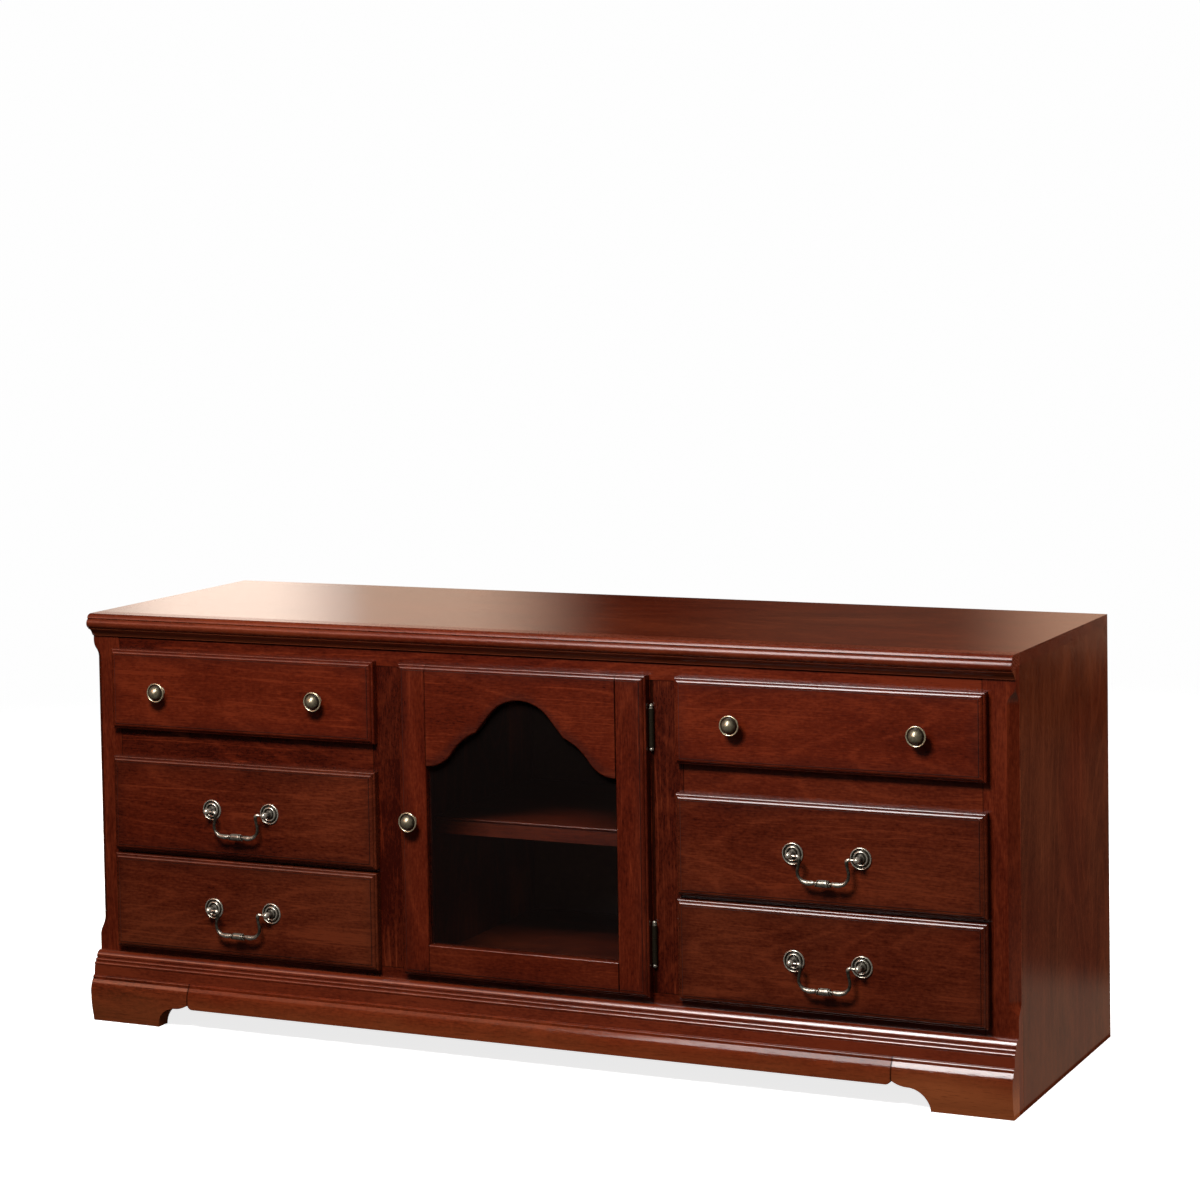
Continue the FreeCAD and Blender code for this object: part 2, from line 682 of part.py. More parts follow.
def drawer_box(side, row):
    """Separate boards of a drawer box: two sides, inner front, back and a grooved-in bottom."""
    opening_low, opening_high, *_ = DRAWER_ROWS[row]
    low = opening_low + RUNNER_RISE + SEAT_GAP
    high = opening_high - BOX_HEADROOM
    left, right = sorted(box_span(side))
    rear = BACK_FRONT + BOX_BACK_CLEARANCE
    bottom_low = low + DRAWER_BOTTOM_RAISE
    bottom_top = bottom_low + DRAWER_BOTTOM
    groove = block(
        (left + BOX_BOARD - GROOVE_DEPTH, right - BOX_BOARD + GROOVE_DEPTH),
        (rear - OVERCUT, SEAT_GAP - BOX_BOARD + GROOVE_DEPTH),
        (bottom_low - GROOVE_CLEARANCE, bottom_top + GROOVE_CLEARANCE),
    )
    inner = (left + BOX_BOARD, right - BOX_BOARD)
    boards = [
        block((left, left + BOX_BOARD), (rear, SEAT_GAP), (low, high)).cut(groove),
        block((right - BOX_BOARD, right), (rear, SEAT_GAP), (low, high)).cut(groove),
        block(inner, (SEAT_GAP - BOX_BOARD, SEAT_GAP), (low, high)).cut(groove),
        block(inner, (rear, rear + BOX_BOARD), (bottom_top + GROOVE_CLEARANCE, high)),
    ]
    play = GROOVE_DEPTH - GROOVE_CLEARANCE
    bottom = block(
        (inner[0] - play, inner[1] + play), (rear, SEAT_GAP - BOX_BOARD + play), (bottom_low, bottom_top)
    )
    return [cut_studs(board, pull_places(side, row), DRAWER_FACE) for board in boards] + [bottom]


def drawer_front(side, row):
    *_, low, high = DRAWER_ROWS[row]
    span = mirrored_span(side, MULLION_OUTER - OVERLAY, STILE_INNER + OVERLAY)
    board = lipped_board(span, (SEAT_GAP, DRAWER_FACE), (low, high))
    return cut_studs(board, pull_places(side, row), DRAWER_FACE)


def pull_places(side, row):
    """Where a drawer's two knobs or the two posts of its bail stand, as (x, z)."""
    *_, low, high = DRAWER_ROWS[row]
    spacing = KNOB_SPACING if row == "upper" else POST_SPACING
    centre = side * BAY_CENTRE
    middle = (low + high) / 2
    return [(centre - spacing / 2, middle), (centre + spacing / 2, middle)]


def cut_studs(board, places, face):
    for x, z in places:
        hole = cylinder(STUD_RADIUS + RUNNING_CLEARANCE, point(x, face, z), Vector(0, 1, 0), STUD_LENGTH)
        board = board.cut(hole)
    return board


def knob(x, z, face):
    """Turned knob: foot, hollow neck, ringed rim and a domed button, with its stud."""
    rim_front = KNOB_RIM_BACK + (KNOB_PROJECTION - KNOB_RIM_BACK) / 3
    groove = rim_front - FILLET
    ring_inner = (KNOB_RADIUS + KNOB_DOME) / 2
    rim_middle = (KNOB_RIM_BACK + rim_front) / 2
    section = [
        (-STUD_LENGTH, 0),
        (-STUD_LENGTH, STUD_RADIUS),
        (0, STUD_RADIUS),
        (0, KNOB_BASE),
        (FILLET, KNOB_BASE),
        ((KNOB_RIM_BACK / 2, KNOB_NECK), (KNOB_RIM_BACK, KNOB_DOME)),
        ((rim_middle, KNOB_RADIUS), (rim_front, ring_inner)),
        (groove, KNOB_DOME),
        dome(groove, KNOB_DOME, KNOB_PROJECTION - groove),
    ]
    return turned(section, point(x, face, z), Vector(0, -1, 0), Vector(1, 0, 0))


def bail_post(x, z, inward):
    """Rosette of two rings with a post, a ball head bored for the bail, and its stud."""
    ring_gap = ROSETTE_RADIUS / 6
    inner_ring = ROSETTE_RADIUS - 2 * ring_gap
    floor = ROSETTE_HEIGHT / 3
    section = [
        (-STUD_LENGTH, 0),
        (-STUD_LENGTH, STUD_RADIUS),
        (0, STUD_RADIUS),
        (0, ROSETTE_RADIUS),
        bow((0, ROSETTE_RADIUS), (floor, ROSETTE_RADIUS - ring_gap), ring_gap / 2),
        (floor, inner_ring),
        bow((floor, inner_ring), (floor, inner_ring - 1.5 * ring_gap), -(ROSETTE_HEIGHT - floor)),
        (floor, POST_RADIUS),
        (POST_REACH, POST_RADIUS),
        (POST_REACH, 0),
    ]
    face = point(x, DRAWER_FACE, z)
    head_centre = point(x, DRAWER_FACE + POST_REACH, z)
    post = turned(section, face, Vector(0, -1, 0), Vector(1, 0, 0))
    head = Part.makeSphere(HEAD_RADIUS, head_centre)
    bore_start = head_centre + Vector(inward * HEAD_RADIUS, 0, 0)
    bore_depth = STUB_DEPTH + RUNNING_CLEARANCE
    bore = cylinder(STUB_RADIUS + RUNNING_CLEARANCE, bore_start, Vector(-inward, 0, 0), bore_depth)
    return post.fuse(head).cut(bore)


def bail(side, row):
    """Swan-necked bail: two stubs in the posts, a round rod and a turned barrel at the bottom."""
    (left_x, z), (right_x, _) = pull_places(side, row)
    origin = point((left_x + right_x) / 2, DRAWER_FACE + POST_REACH, z)
    shoulder = POST_SPACING / 2 - HEAD_RADIUS - STUB_SHOULDER
    low_bow = BOW_RADIUS - BAIL_DROP
    lean_x = BOW_X - ELBOW_X
    lean_z = -ELBOW_RADIUS - low_bow
    swing = 2 * math.atan2(lean_x, lean_z)
    sagitta = math.hypot(lean_x, lean_z) / 4 * math.tan(swing / 4)
    elbow_slack = ELBOW_RADIUS * (1 - math.sqrt(0.5))
    bow_slack = BOW_RADIUS * (1 - math.sqrt(0.5))
    elbow = (ELBOW_X, -ELBOW_RADIUS)
    middle = ((ELBOW_X + BOW_X) / 2, (low_bow - ELBOW_RADIUS) / 2)
    widest = (BOW_X, low_bow)
    bar_end = BOW_X - BOW_RADIUS
    arm = [
        (shoulder, 0),
        (ELBOW_X + ELBOW_RADIUS, 0),
        ((ELBOW_X + elbow_slack, -elbow_slack), elbow),
        bow(elbow, middle, -sagitta),
        bow(middle, widest, sagitta),
        ((BOW_X - bow_slack, -BAIL_DROP + bow_slack), (bar_end, -BAIL_DROP)),
        (0, -BAIL_DROP),
    ]
    stub_length = STUB_SHOULDER + STUB_DEPTH - RUNNING_CLEARANCE
    solids = []
    for hand in SIDES.values():
        spine = Part.Wire(path_edges(arm, lambda x, drop: origin + Vector(hand * x, 0, drop)))
        end = origin + Vector(hand * shoulder, 0, 0)
        ring = Part.Wire(Part.Circle(end, Vector(1, 0, 0), ROD_RADIUS).toShape())
        solids.append(spine.makePipeShell([ring], True, False))
        solids.append(cylinder(STUB_RADIUS, end, Vector(hand, 0, 0), stub_length))
    bar = origin - Vector(0, 0, BAIL_DROP)
    return solids[0].fuse(solids[1:] + [bail_barrel(bar, bar_end)]).removeSplitter()


def bail_barrel(centre, bar_end):
    """Barrel between two grooves, with a swelling on each side that fades into the rod."""
    half = BARREL_LENGTH / 2
    swell_start = half + BARREL_GROOVE
    swell_middle = (swell_start + bar_end) / 2
    section = [
        (-bar_end, 0),
        (-bar_end, ROD_RADIUS),
        ((-swell_middle, SWELL_RADIUS), (-swell_start, ROD_RADIUS)),
        (-half, ROD_RADIUS),
        (-half, BARREL_RADIUS - BARREL_CHAMFER),
        (BARREL_CHAMFER - half, BARREL_RADIUS),
        (half - BARREL_CHAMFER, BARREL_RADIUS),
        (half, BARREL_RADIUS - BARREL_CHAMFER),
        (half, ROD_RADIUS),
        (swell_start, ROD_RADIUS),
        ((swell_middle, SWELL_RADIUS), (bar_end, ROD_RADIUS)),
        (bar_end, 0),
    ]
    return turned(section, centre, Vector(1, 0, 0), Vector(0, 0, 1))


def window_outline():
    """Window opening: square sill, upright sides and an ogee arch with a cusp on each shoulder."""
    angle = math.radians(FLANK_ANGLE)
    crown_radius = (CUSP_X * math.sin(angle) - CUSP_DROP * math.cos(angle)) / (1 - math.cos(angle))
    flank = (crown_radius * math.sin(angle), WINDOW_CROWN - crown_radius * (1 - math.cos(angle)))
    cusp = (CUSP_X, WINDOW_CROWN - CUSP_DROP)
    spring = (WINDOW_HALF, WINDOW_CROWN - SPRING_DROP)
    run = spring[0] - cusp[0]
    fall = cusp[1] - spring[1]
    turn = (cusp[0] + TURN_RUN * run, cusp[1] - TURN_FALL * fall)
    swell = SHOULDER_SWELL * run
    hollow = SPRING_HOLLOW * run
    right = [
        spring,
        bow(spring, turn, hollow),
        bow(turn, cusp, -swell),
        flank,
    ]
    left = [
        (-flank[0], flank[1]),
        (-cusp[0], cusp[1]),
        bow((-cusp[0], cusp[1]), (-turn[0], turn[1]), -swell),
        bow((-turn[0], turn[1]), (-spring[0], spring[1]), hollow),
    ]
    crown = ((0, WINDOW_CROWN), left[0])
    return [(-WINDOW_HALF, WINDOW_LOW), (WINDOW_HALF, WINDOW_LOW)] + right + [crown] + left[1:]


def rebate_span():
    """Width and height of the recess behind the window that takes the glass."""
    half = WINDOW_HALF + REBATE_WIDTH
    return (-half, half), (WINDOW_LOW - REBATE_WIDTH, WINDOW_CROWN + REBATE_WIDTH)


def door_frame():
    """Stiles and rails cut from one lipped board, with the window, its rebate and the hinge recesses."""
    board = lipped_board((-DOOR_HALF, DOOR_HALF), (DOOR_GAP, DOOR_FACE), (DOOR_LOW, DOOR_TOP))
    board = board.cut(front_shape(window_outline(), 0, DOOR_FACE + OVERCUT))
    width, height = rebate_span()
    board = board.cut(block(width, (0, REBATE_REACH), height))
    for z in HINGE_HEIGHTS:
        board = board.cut(door_leaf_plate(z))
    board = cut_studs(board, [door_knob_place()], DOOR_FACE)
    sill_height = (DOOR_LOW - OVERCUT, (WINDOW_LOW + WINDOW_CROWN) / 2)
    head_height = (sill_height[1], DOOR_TOP + OVERCUT)
    full_height = (sill_height[0], head_height[1])
    depth = (0, DOOR_FACE + OVERCUT)
    outer = DOOR_HALF + OVERCUT
    areas = {
        "door_stile_left": block((-outer, -WINDOW_HALF), depth, full_height),
        "door_stile_right": block((WINDOW_HALF, outer), depth, full_height),
        "door_bottom_rail": block((-WINDOW_HALF, WINDOW_HALF), depth, sill_height),
        "door_top_rail": block((-WINDOW_HALF, WINDOW_HALF), depth, head_height),
    }
    return {name: rounded_window_edge(board.common(area)) for name, area in areas.items()}


def rounded_window_edge(piece):
    """Rounds the front edge that a piece turns towards the window."""
    solid = piece.Solids[0]
    front = FACE_Y - DOOR_FACE
    inset = LIP_WIDTH + OVERCUT
    edges = []
    for edge in solid.Edges:
        box = edge.BoundBox
        on_face = abs(box.YMin - front) < SAME_PLACE and abs(box.YMax - front) < SAME_PLACE
        middle = edge.valueAt((edge.FirstParameter + edge.LastParameter) / 2)
        across = abs(middle.x) < DOOR_HALF - inset and DOOR_LOW + inset < middle.z < DOOR_TOP - inset
        on_seam = abs(abs(middle.x) - WINDOW_HALF) < SAME_PLACE
        beside_window = WINDOW_LOW < middle.z < WINDOW_CROWN - SPRING_DROP
        if on_face and across and (beside_window or not on_seam):
            edges.append(edge)
    return solid.makeFillet(WINDOW_ROUND, edges)


def door_glass():
    (left, right), (low, high) = rebate_span()
    return block(
        (left + SEAT_GAP, right - SEAT_GAP),
        (REBATE_REACH - GLASS_THICKNESS, REBATE_REACH),
        (low + SEAT_GAP, high - SEAT_GAP),
    )


def glass_stops():
    """Four strips that hold the glass in its rebate."""
    (left, right), (low, high) = rebate_span()
    reach = (DOOR_GAP, REBATE_REACH - GLASS_THICKNESS)
    inner_low = low + REBATE_WIDTH
    inner_high = high - REBATE_WIDTH
    return [
        block((left, right), reach, (low, inner_low)),
        block((left, right), reach, (inner_high, high)),
        block((left, left + REBATE_WIDTH), reach, (inner_low, inner_high)),
        block((right - REBATE_WIDTH, right), reach, (inner_low, inner_high)),
    ]


def door_knob_place():
    return (DOOR_STILE / 2 - DOOR_HALF, (DOOR_LOW + DOOR_TOP) / 2)


def hinge_centre(z):
    return point(HINGE_X, HINGE_REACH, z)


def knuckle(z_low, z_high):
    start = hinge_centre(z_low)
    up = Vector(0, 0, 1)
    return cylinder(KNUCKLE_RADIUS, start, up, z_high - z_low)


def bored(leaf, z):
    start = hinge_centre(z - HINGE_HEIGHT)
    return leaf.cut(cylinder(PIN_RADIUS + RUNNING_CLEARANCE, start, Vector(0, 0, 1), 2 * HINGE_HEIGHT))


def hinge_height(z):
    return (z - HINGE_HEIGHT / 2, z + HINGE_HEIGHT / 2)


def door_leaf_plate(z):
    inner = DOOR_HALF - LEAF_WIDTH
    return block((inner, DOOR_HALF), (DOOR_GAP, DOOR_GAP + LEAF_THICKNESS), hinge_height(z))


def hinge_door_leaves():
    """Leaves let into the door's back, each with the middle knuckle of its hinge."""
    leaves = []
    for z in HINGE_HEIGHTS:
        half = DOOR_KNUCKLE / 2
        tongue = block((DOOR_HALF, HINGE_X), (DOOR_GAP, DOOR_GAP + LEAF_THICKNESS), (z - half, z + half))
        leaf = door_leaf_plate(z).fuse([tongue, knuckle(z - half, z + half)])
        leaves.append(bored(leaf.removeSplitter(), z))
    return leaves


def hinge_frame_leaves():
    """Leaves that wrap round the mullion's edge, each with the two outer knuckles of its hinge."""
    leaves = []
    face = (0, LEAF_THICKNESS)
    inner = MULLION_INNER - LEAF_THICKNESS
    for z in HINGE_HEIGHTS:
        low, high = hinge_height(z)
        half = DOOR_KNUCKLE / 2 + KNUCKLE_GAP
        plate = block((inner, DOOR_HALF), face, (low, high))
        wrap = block((inner, MULLION_INNER), (-WRAP_DEPTH, LEAF_THICKNESS), (low, high))
        pieces = [wrap]
        for knuckle_low, knuckle_high in ((low, z - half), (z + half, high)):
            pieces.append(block((DOOR_HALF, HINGE_X), face, (knuckle_low, knuckle_high)))
            pieces.append(knuckle(knuckle_low, knuckle_high))
        leaves.append(bored(plate.fuse(pieces).removeSplitter(), z))
    return leaves


def hinge_pins():
    """Pins with a necked ball finial at each end."""
    pins = []
    half = HINGE_HEIGHT / 2 + RUNNING_CLEARANCE
    ball_low = half + FINIAL_NECK
    ball_middle = ball_low + math.sqrt(FINIAL_RADIUS ** 2 - PIN_RADIUS ** 2)
    ball_top = ball_middle + FINIAL_RADIUS
    section = [
        (-ball_top, 0),
        ((-ball_middle, FINIAL_RADIUS), (-ball_low, PIN_RADIUS)),
        (-ball_low + FINIAL_NECK / 2, FINIAL_RADIUS),
        (-half, FINIAL_RADIUS),
        (-half, PIN_RADIUS),
        (half, PIN_RADIUS),
        (half, FINIAL_RADIUS),
        (ball_low - FINIAL_NECK / 2, FINIAL_RADIUS),
        (ball_low, PIN_RADIUS),
        ((ball_middle, FINIAL_RADIUS), (ball_top, 0)),
    ]
    for z in HINGE_HEIGHTS:
        pins.append(turned(section, hinge_centre(z), Vector(0, 0, 1), Vector(1, 0, 0)))
    return pins


def catch_height(size):
    middle = DOOR_TOP - CATCH_DROP
    return (middle - size / 2, middle + size / 2)


def door_catch():
    """Magnetic catch on the left mullion's inner edge."""
    span = (-MULLION_INNER, CATCH_WIDTH - MULLION_INNER)
    return block(span, (FRAME_BACK, CATCH_REACH), catch_height(CATCH_HEIGHT))


def catch_plate():
    centre = CATCH_WIDTH / 2 - MULLION_INNER
    span = (centre - CATCH_PLATE_WIDTH / 2, centre + CATCH_PLATE_WIDTH / 2)
    return block(span, (DOOR_GAP - CATCH_PLATE, DOOR_GAP), catch_height(CATCH_PLATE_HEIGHT))


def cabinet_pieces():
    pieces = {
        "top_panel": top_panel(),
        "top_nosing": top_nosing(),
        "cove_moulding": cove_moulding(),
        "bottom_panel": bottom_panel(),
        "back_panel": back_panel(),
        "back_screws": back_screws(),
        "top_rail": top_rail(),
        "bottom_rail": bottom_rail(),
        "drawer_rails": drawer_rails(),
        "base_moulding": base_moulding(),
        "base_apron": base_apron(),
        "glue_blocks": glue_blocks(),
        "shelf": shelf(),
        "shelf_pins": shelf_pins(),
        "drawer_runners": drawer_runners(),
        "hinge_frame_leaves": hinge_frame_leaves(),
        "hinge_pins": hinge_pins(),
        "door_catch": door_catch(),
    }
    for name, side in SIDES.items():
        pieces[f"side_panel_{name}"] = side_panel(side)
        pieces[f"partition_{name}"] = partition(side)
        pieces[f"stile_{name}"] = stile(side)
        pieces[f"mullion_{name}"] = mullion(side)
        pieces[f"foot_{name}"] = foot(side)
    return pieces


def door_pieces():
    pieces = door_frame()
    pieces["door_glass"] = door_glass()
    pieces["glass_stops"] = glass_stops()
    pieces["hinge_door_leaves"] = hinge_door_leaves()
    pieces["door_knob"] = knob(*door_knob_place(), DOOR_FACE)
    pieces["catch_plate"] = catch_plate()
    return pieces


def drawer_pieces():
    pieces = {}
    for name, side in SIDES.items():
        for row in DRAWER_ROWS:
            pieces[f"drawer_front_{row}_{name}"] = drawer_front(side, row)
            pieces[f"drawer_box_{row}_{name}"] = drawer_box(side, row)
            places = pull_places(side, row)
            if row == "upper":
                pieces[f"knobs_{row}_{name}"] = [knob(x, z, DRAWER_FACE) for x, z in places]
            else:
                posts = [bail_post(x, z, inward) for (x, z), inward in zip(places, (1, -1))]
                pieces[f"bail_posts_{row}_{name}"] = posts
                pieces[f"bail_{row}_{name}"] = bail(side, row)
    return pieces


def main():
    os.makedirs("parts", exist_ok=True)
    for pieces in (cabinet_pieces(), door_pieces(), drawer_pieces()):
        for name, shape in pieces.items():
            group = Part.makeCompound(shape) if isinstance(shape, list) else shape
            group.exportStep(f"parts/{name}.step")


main()
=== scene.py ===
"""Looks of the media cabinet: its stained boards, cast hardware, glass, stage and camera."""

import math

import bmesh
import bpy
from bpy.props import FloatProperty, FloatVectorProperty, IntProperty, PointerProperty
from mathutils import Matrix, Vector


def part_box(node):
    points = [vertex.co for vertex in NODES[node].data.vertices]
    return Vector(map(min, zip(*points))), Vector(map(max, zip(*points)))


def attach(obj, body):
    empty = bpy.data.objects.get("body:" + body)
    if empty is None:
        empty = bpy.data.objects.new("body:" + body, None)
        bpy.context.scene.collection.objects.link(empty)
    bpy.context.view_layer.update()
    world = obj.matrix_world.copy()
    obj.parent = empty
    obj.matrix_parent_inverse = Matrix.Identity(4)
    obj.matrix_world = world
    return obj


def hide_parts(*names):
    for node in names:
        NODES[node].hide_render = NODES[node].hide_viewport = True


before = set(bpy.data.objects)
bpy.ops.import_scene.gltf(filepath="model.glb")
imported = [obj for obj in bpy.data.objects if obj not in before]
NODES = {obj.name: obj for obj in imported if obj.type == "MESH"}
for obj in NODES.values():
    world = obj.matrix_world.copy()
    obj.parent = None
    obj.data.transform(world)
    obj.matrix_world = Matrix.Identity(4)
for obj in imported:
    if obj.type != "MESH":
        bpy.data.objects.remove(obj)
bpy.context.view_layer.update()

bl_info = {
    "name": "Media cabinet looks",
    "version": (1, 0, 0),
    "blender": (4, 5, 0),
    "location": "3D View > Sidebar > Cabinet",
    "description": "Stained boards, cast hardware, glass and stage of a media cabinet",
    "category": "Object",
}

SIDES = ("left", "right")
ROWS = ("upper", "middle", "lower")
BAIL_ROWS = ("middle", "lower")
MM = 0.001
X, Y, Z = 0, 1, 2
WHITE = (1.0, 1.0, 1.0)
BLACK = (0.0, 0.0, 0.0)


def colour(name, default, description):
    """A colour property in linear light."""
    return FloatVectorProperty(
        name=name, description=description, subtype="COLOR", size=3, min=0, max=1, default=default
    )


def length(name, default, description):
    """A length property in metres."""
    return FloatProperty(name=name, description=description, unit="LENGTH", min=0, default=default)


def share(name, default, description):
    """A property from 0 to 1."""
    return FloatProperty(
        name=name, description=description, subtype="FACTOR", min=0, max=1, default=default
    )


def level(name, default, description):
    """A brightness property."""
    return FloatProperty(name=name, description=description, min=0, default=default)


def power(name, default, description):
    """A light's power in watts."""
    return FloatProperty(name=name, description=description, subtype="POWER", min=0, default=default)


def angle(name, degrees, description):
    """An angle property, given in degrees."""
    return FloatProperty(
        name=name, description=description, subtype="ANGLE", default=math.radians(degrees)
    )


class CabinetFinish(bpy.types.PropertyGroup):
    """Colours and gloss of the boards, metal and glass."""

    stain_deep: colour("Deep stain", (0.028, 0.0024, 0.0008), "Stain where the wood drinks most of it")
    stain_red: colour("Red stain", (0.086, 0.0080, 0.0021), "Main colour of the stained fronts")
    stain_bright: colour("Bright stain", (0.150, 0.0180, 0.0048), "Stain on the palest streaks")
    stain_brown: colour("Brown stain", (0.084, 0.0170, 0.0056), "Browner patches of the stain")
    # This amber colour goes low on the base and into the paler edge lines, which on the drawer fronts are a
    # painted highlight.
    amber_and_highlight: colour("Amber stain", (0.300, 0.0760, 0.0240), "Paler stain low on the base")
    # This dark colour is glazing along edges and above the arch, and painted shade in the lips' quirks and on
    # chamfers.
    glaze_and_shade: colour("Glaze", (0.0100, 0.0020, 0.0010), "Dark glaze left along edges and in quirks")
    lacquer_roughness: share("Lacquer roughness", 0.20, "Roughness of the lacquered fronts")
    box_wood: colour("Drawer wood", (0.52, 0.34, 0.18), "Unstained wood of the drawer boxes")
    block_wood: colour("Block wood", (0.40, 0.27, 0.15), "Unstained wood of the runners and blocks")
    back_board: colour("Back board", (0.085, 0.045, 0.024), "Smooth board of the back panel")
    metal_bright: colour("Rubbed metal", (0.53, 0.48, 0.39), "Cast metal where hands rub it bright")
    knob_bright: colour("Rubbed knobs", (0.55, 0.46, 0.30), "Warmer metal where hands rub the knobs")
    metal_dull: colour("Aged metal", (0.024, 0.018, 0.011), "Cast metal in the hollows")
    glass_tint: colour("Glass tint", (0.012, 0.008, 0.007), "Colour that the pane adds")
    glass_alpha: share("Glass cover", 0.16, "How much the pane hides what is behind it")


class CabinetHardware(bpy.types.PropertyGroup):
    """Sizes of the cast detail on the knobs and pulls."""

    turn_steps: IntProperty(
        name="Turning steps", description="Faces round a turned piece", min=8, default=24
    )
    arm_radius: length("Arm radius", 2.4 * MM, "Radius of the bail's arms")
    leaf_radius: length("Leaf radius", 4.2 * MM, "Radius of the leaf-shaped swelling beside the barrel")
    pin_radius: length("Pin radius", 1.8 * MM, "Radius of the rod in the posts and the barrel")


class CabinetStage(bpy.types.PropertyGroup):
    """Floor, lights and camera."""

    floor_colour: colour("Floor", (0.86, 0.86, 0.85), "Pale floor")
    backdrop: level("Backdrop", 0.99, "Brightness of the backdrop")
    ambient: level("Ambient", 0.12, "Brightness of the dim surroundings")
    key_power: power("Key light", 90, "Softbox in front and overhead")
    sheen_power: power("Sheen", 170, "Tall softbox that edges and metal reflect")
    overhead_power: power("Overhead", 20, "Light on the top")
    fill_power: power("Fill lights", 110, "Light on each end")
    back_power: power("Back light", 60, "Light on the back")
    camera_place: FloatVectorProperty(
        name="Camera place", description="Where the camera stands", subtype="TRANSLATION", size=3,
        default=(2.1554, -4.58295, 1.3093),
    )
    camera_yaw: angle("Camera yaw", 25.276, "Turn to the left")
    camera_pitch: angle("Camera pitch", 3.0, "Tilt down")
    camera_roll: angle("Camera roll", -0.957, "Roll about the view")
    lens: FloatProperty(name="Lens", description="Focal length for a 36 mm frame", default=95.36, min=1)
    shift: FloatVectorProperty(name="Shift", description="Lens shift", size=2, default=(0.0222, -0.1806))


class Value:
    """A shader socket that takes part in arithmetic: each operation adds a Math node."""

    def __init__(self, graph, socket):
        self.graph = graph
        self.socket = socket

    def math(self, operation, first, second=0.0):
        """One Math node on two values or numbers."""
        return self.graph.add("ShaderNodeMath", {"operation": operation}, {0: first, 1: second})

    def __add__(self, other):
        return self.math("ADD", self, other)

    def __radd__(self, other):
        return self.math("ADD", other, self)

    def __sub__(self, other):
        return self.math("SUBTRACT", self, other)

    def __rsub__(self, other):
        return self.math("SUBTRACT", other, self)

    def __mul__(self, other):
        return self.math("MULTIPLY", self, other)

    def __rmul__(self, other):
        return self.math("MULTIPLY", other, self)

    def __abs__(self):
        return self.math("ABSOLUTE", self)

    def least(self, other):
        """The lower of two values."""
        return self.math("MINIMUM", self, other)

    def fraction(self):
        """What is left of a value above its whole number."""
        return self.math("FRACT", self)

    def fade(self, low, high):
        """0 at low and 1 at high, smooth between them; low may be the higher."""
        settings = {"interpolation_type": "SMOOTHSTEP"}
        if low < high:
            sockets = {"Value": self, "From Min": low, "From Max": high}
            return self.graph.add("ShaderNodeMapRange", settings, sockets)
        sockets = {"Value": self, "From Min": high, "From Max": low}
        return 1 - self.graph.add("ShaderNodeMapRange", settings, sockets)

    def rise(self, low, high, start):
        """As fade, but from a start above 0."""
        return self.fade(low, high) * (1 - start) + start

    def line(self, place, width):
        """1 on a line at a place and 0 half a width away on both sides."""
        return abs(self - place).fade(width / 2, 0)


# Dark colour of joints between boards and of lines of painted shade.
GAP_AND_SHADE_COLOUR = (0.006, 0.002, 0.001)
FACING_TILT = (0.4, 0.6)


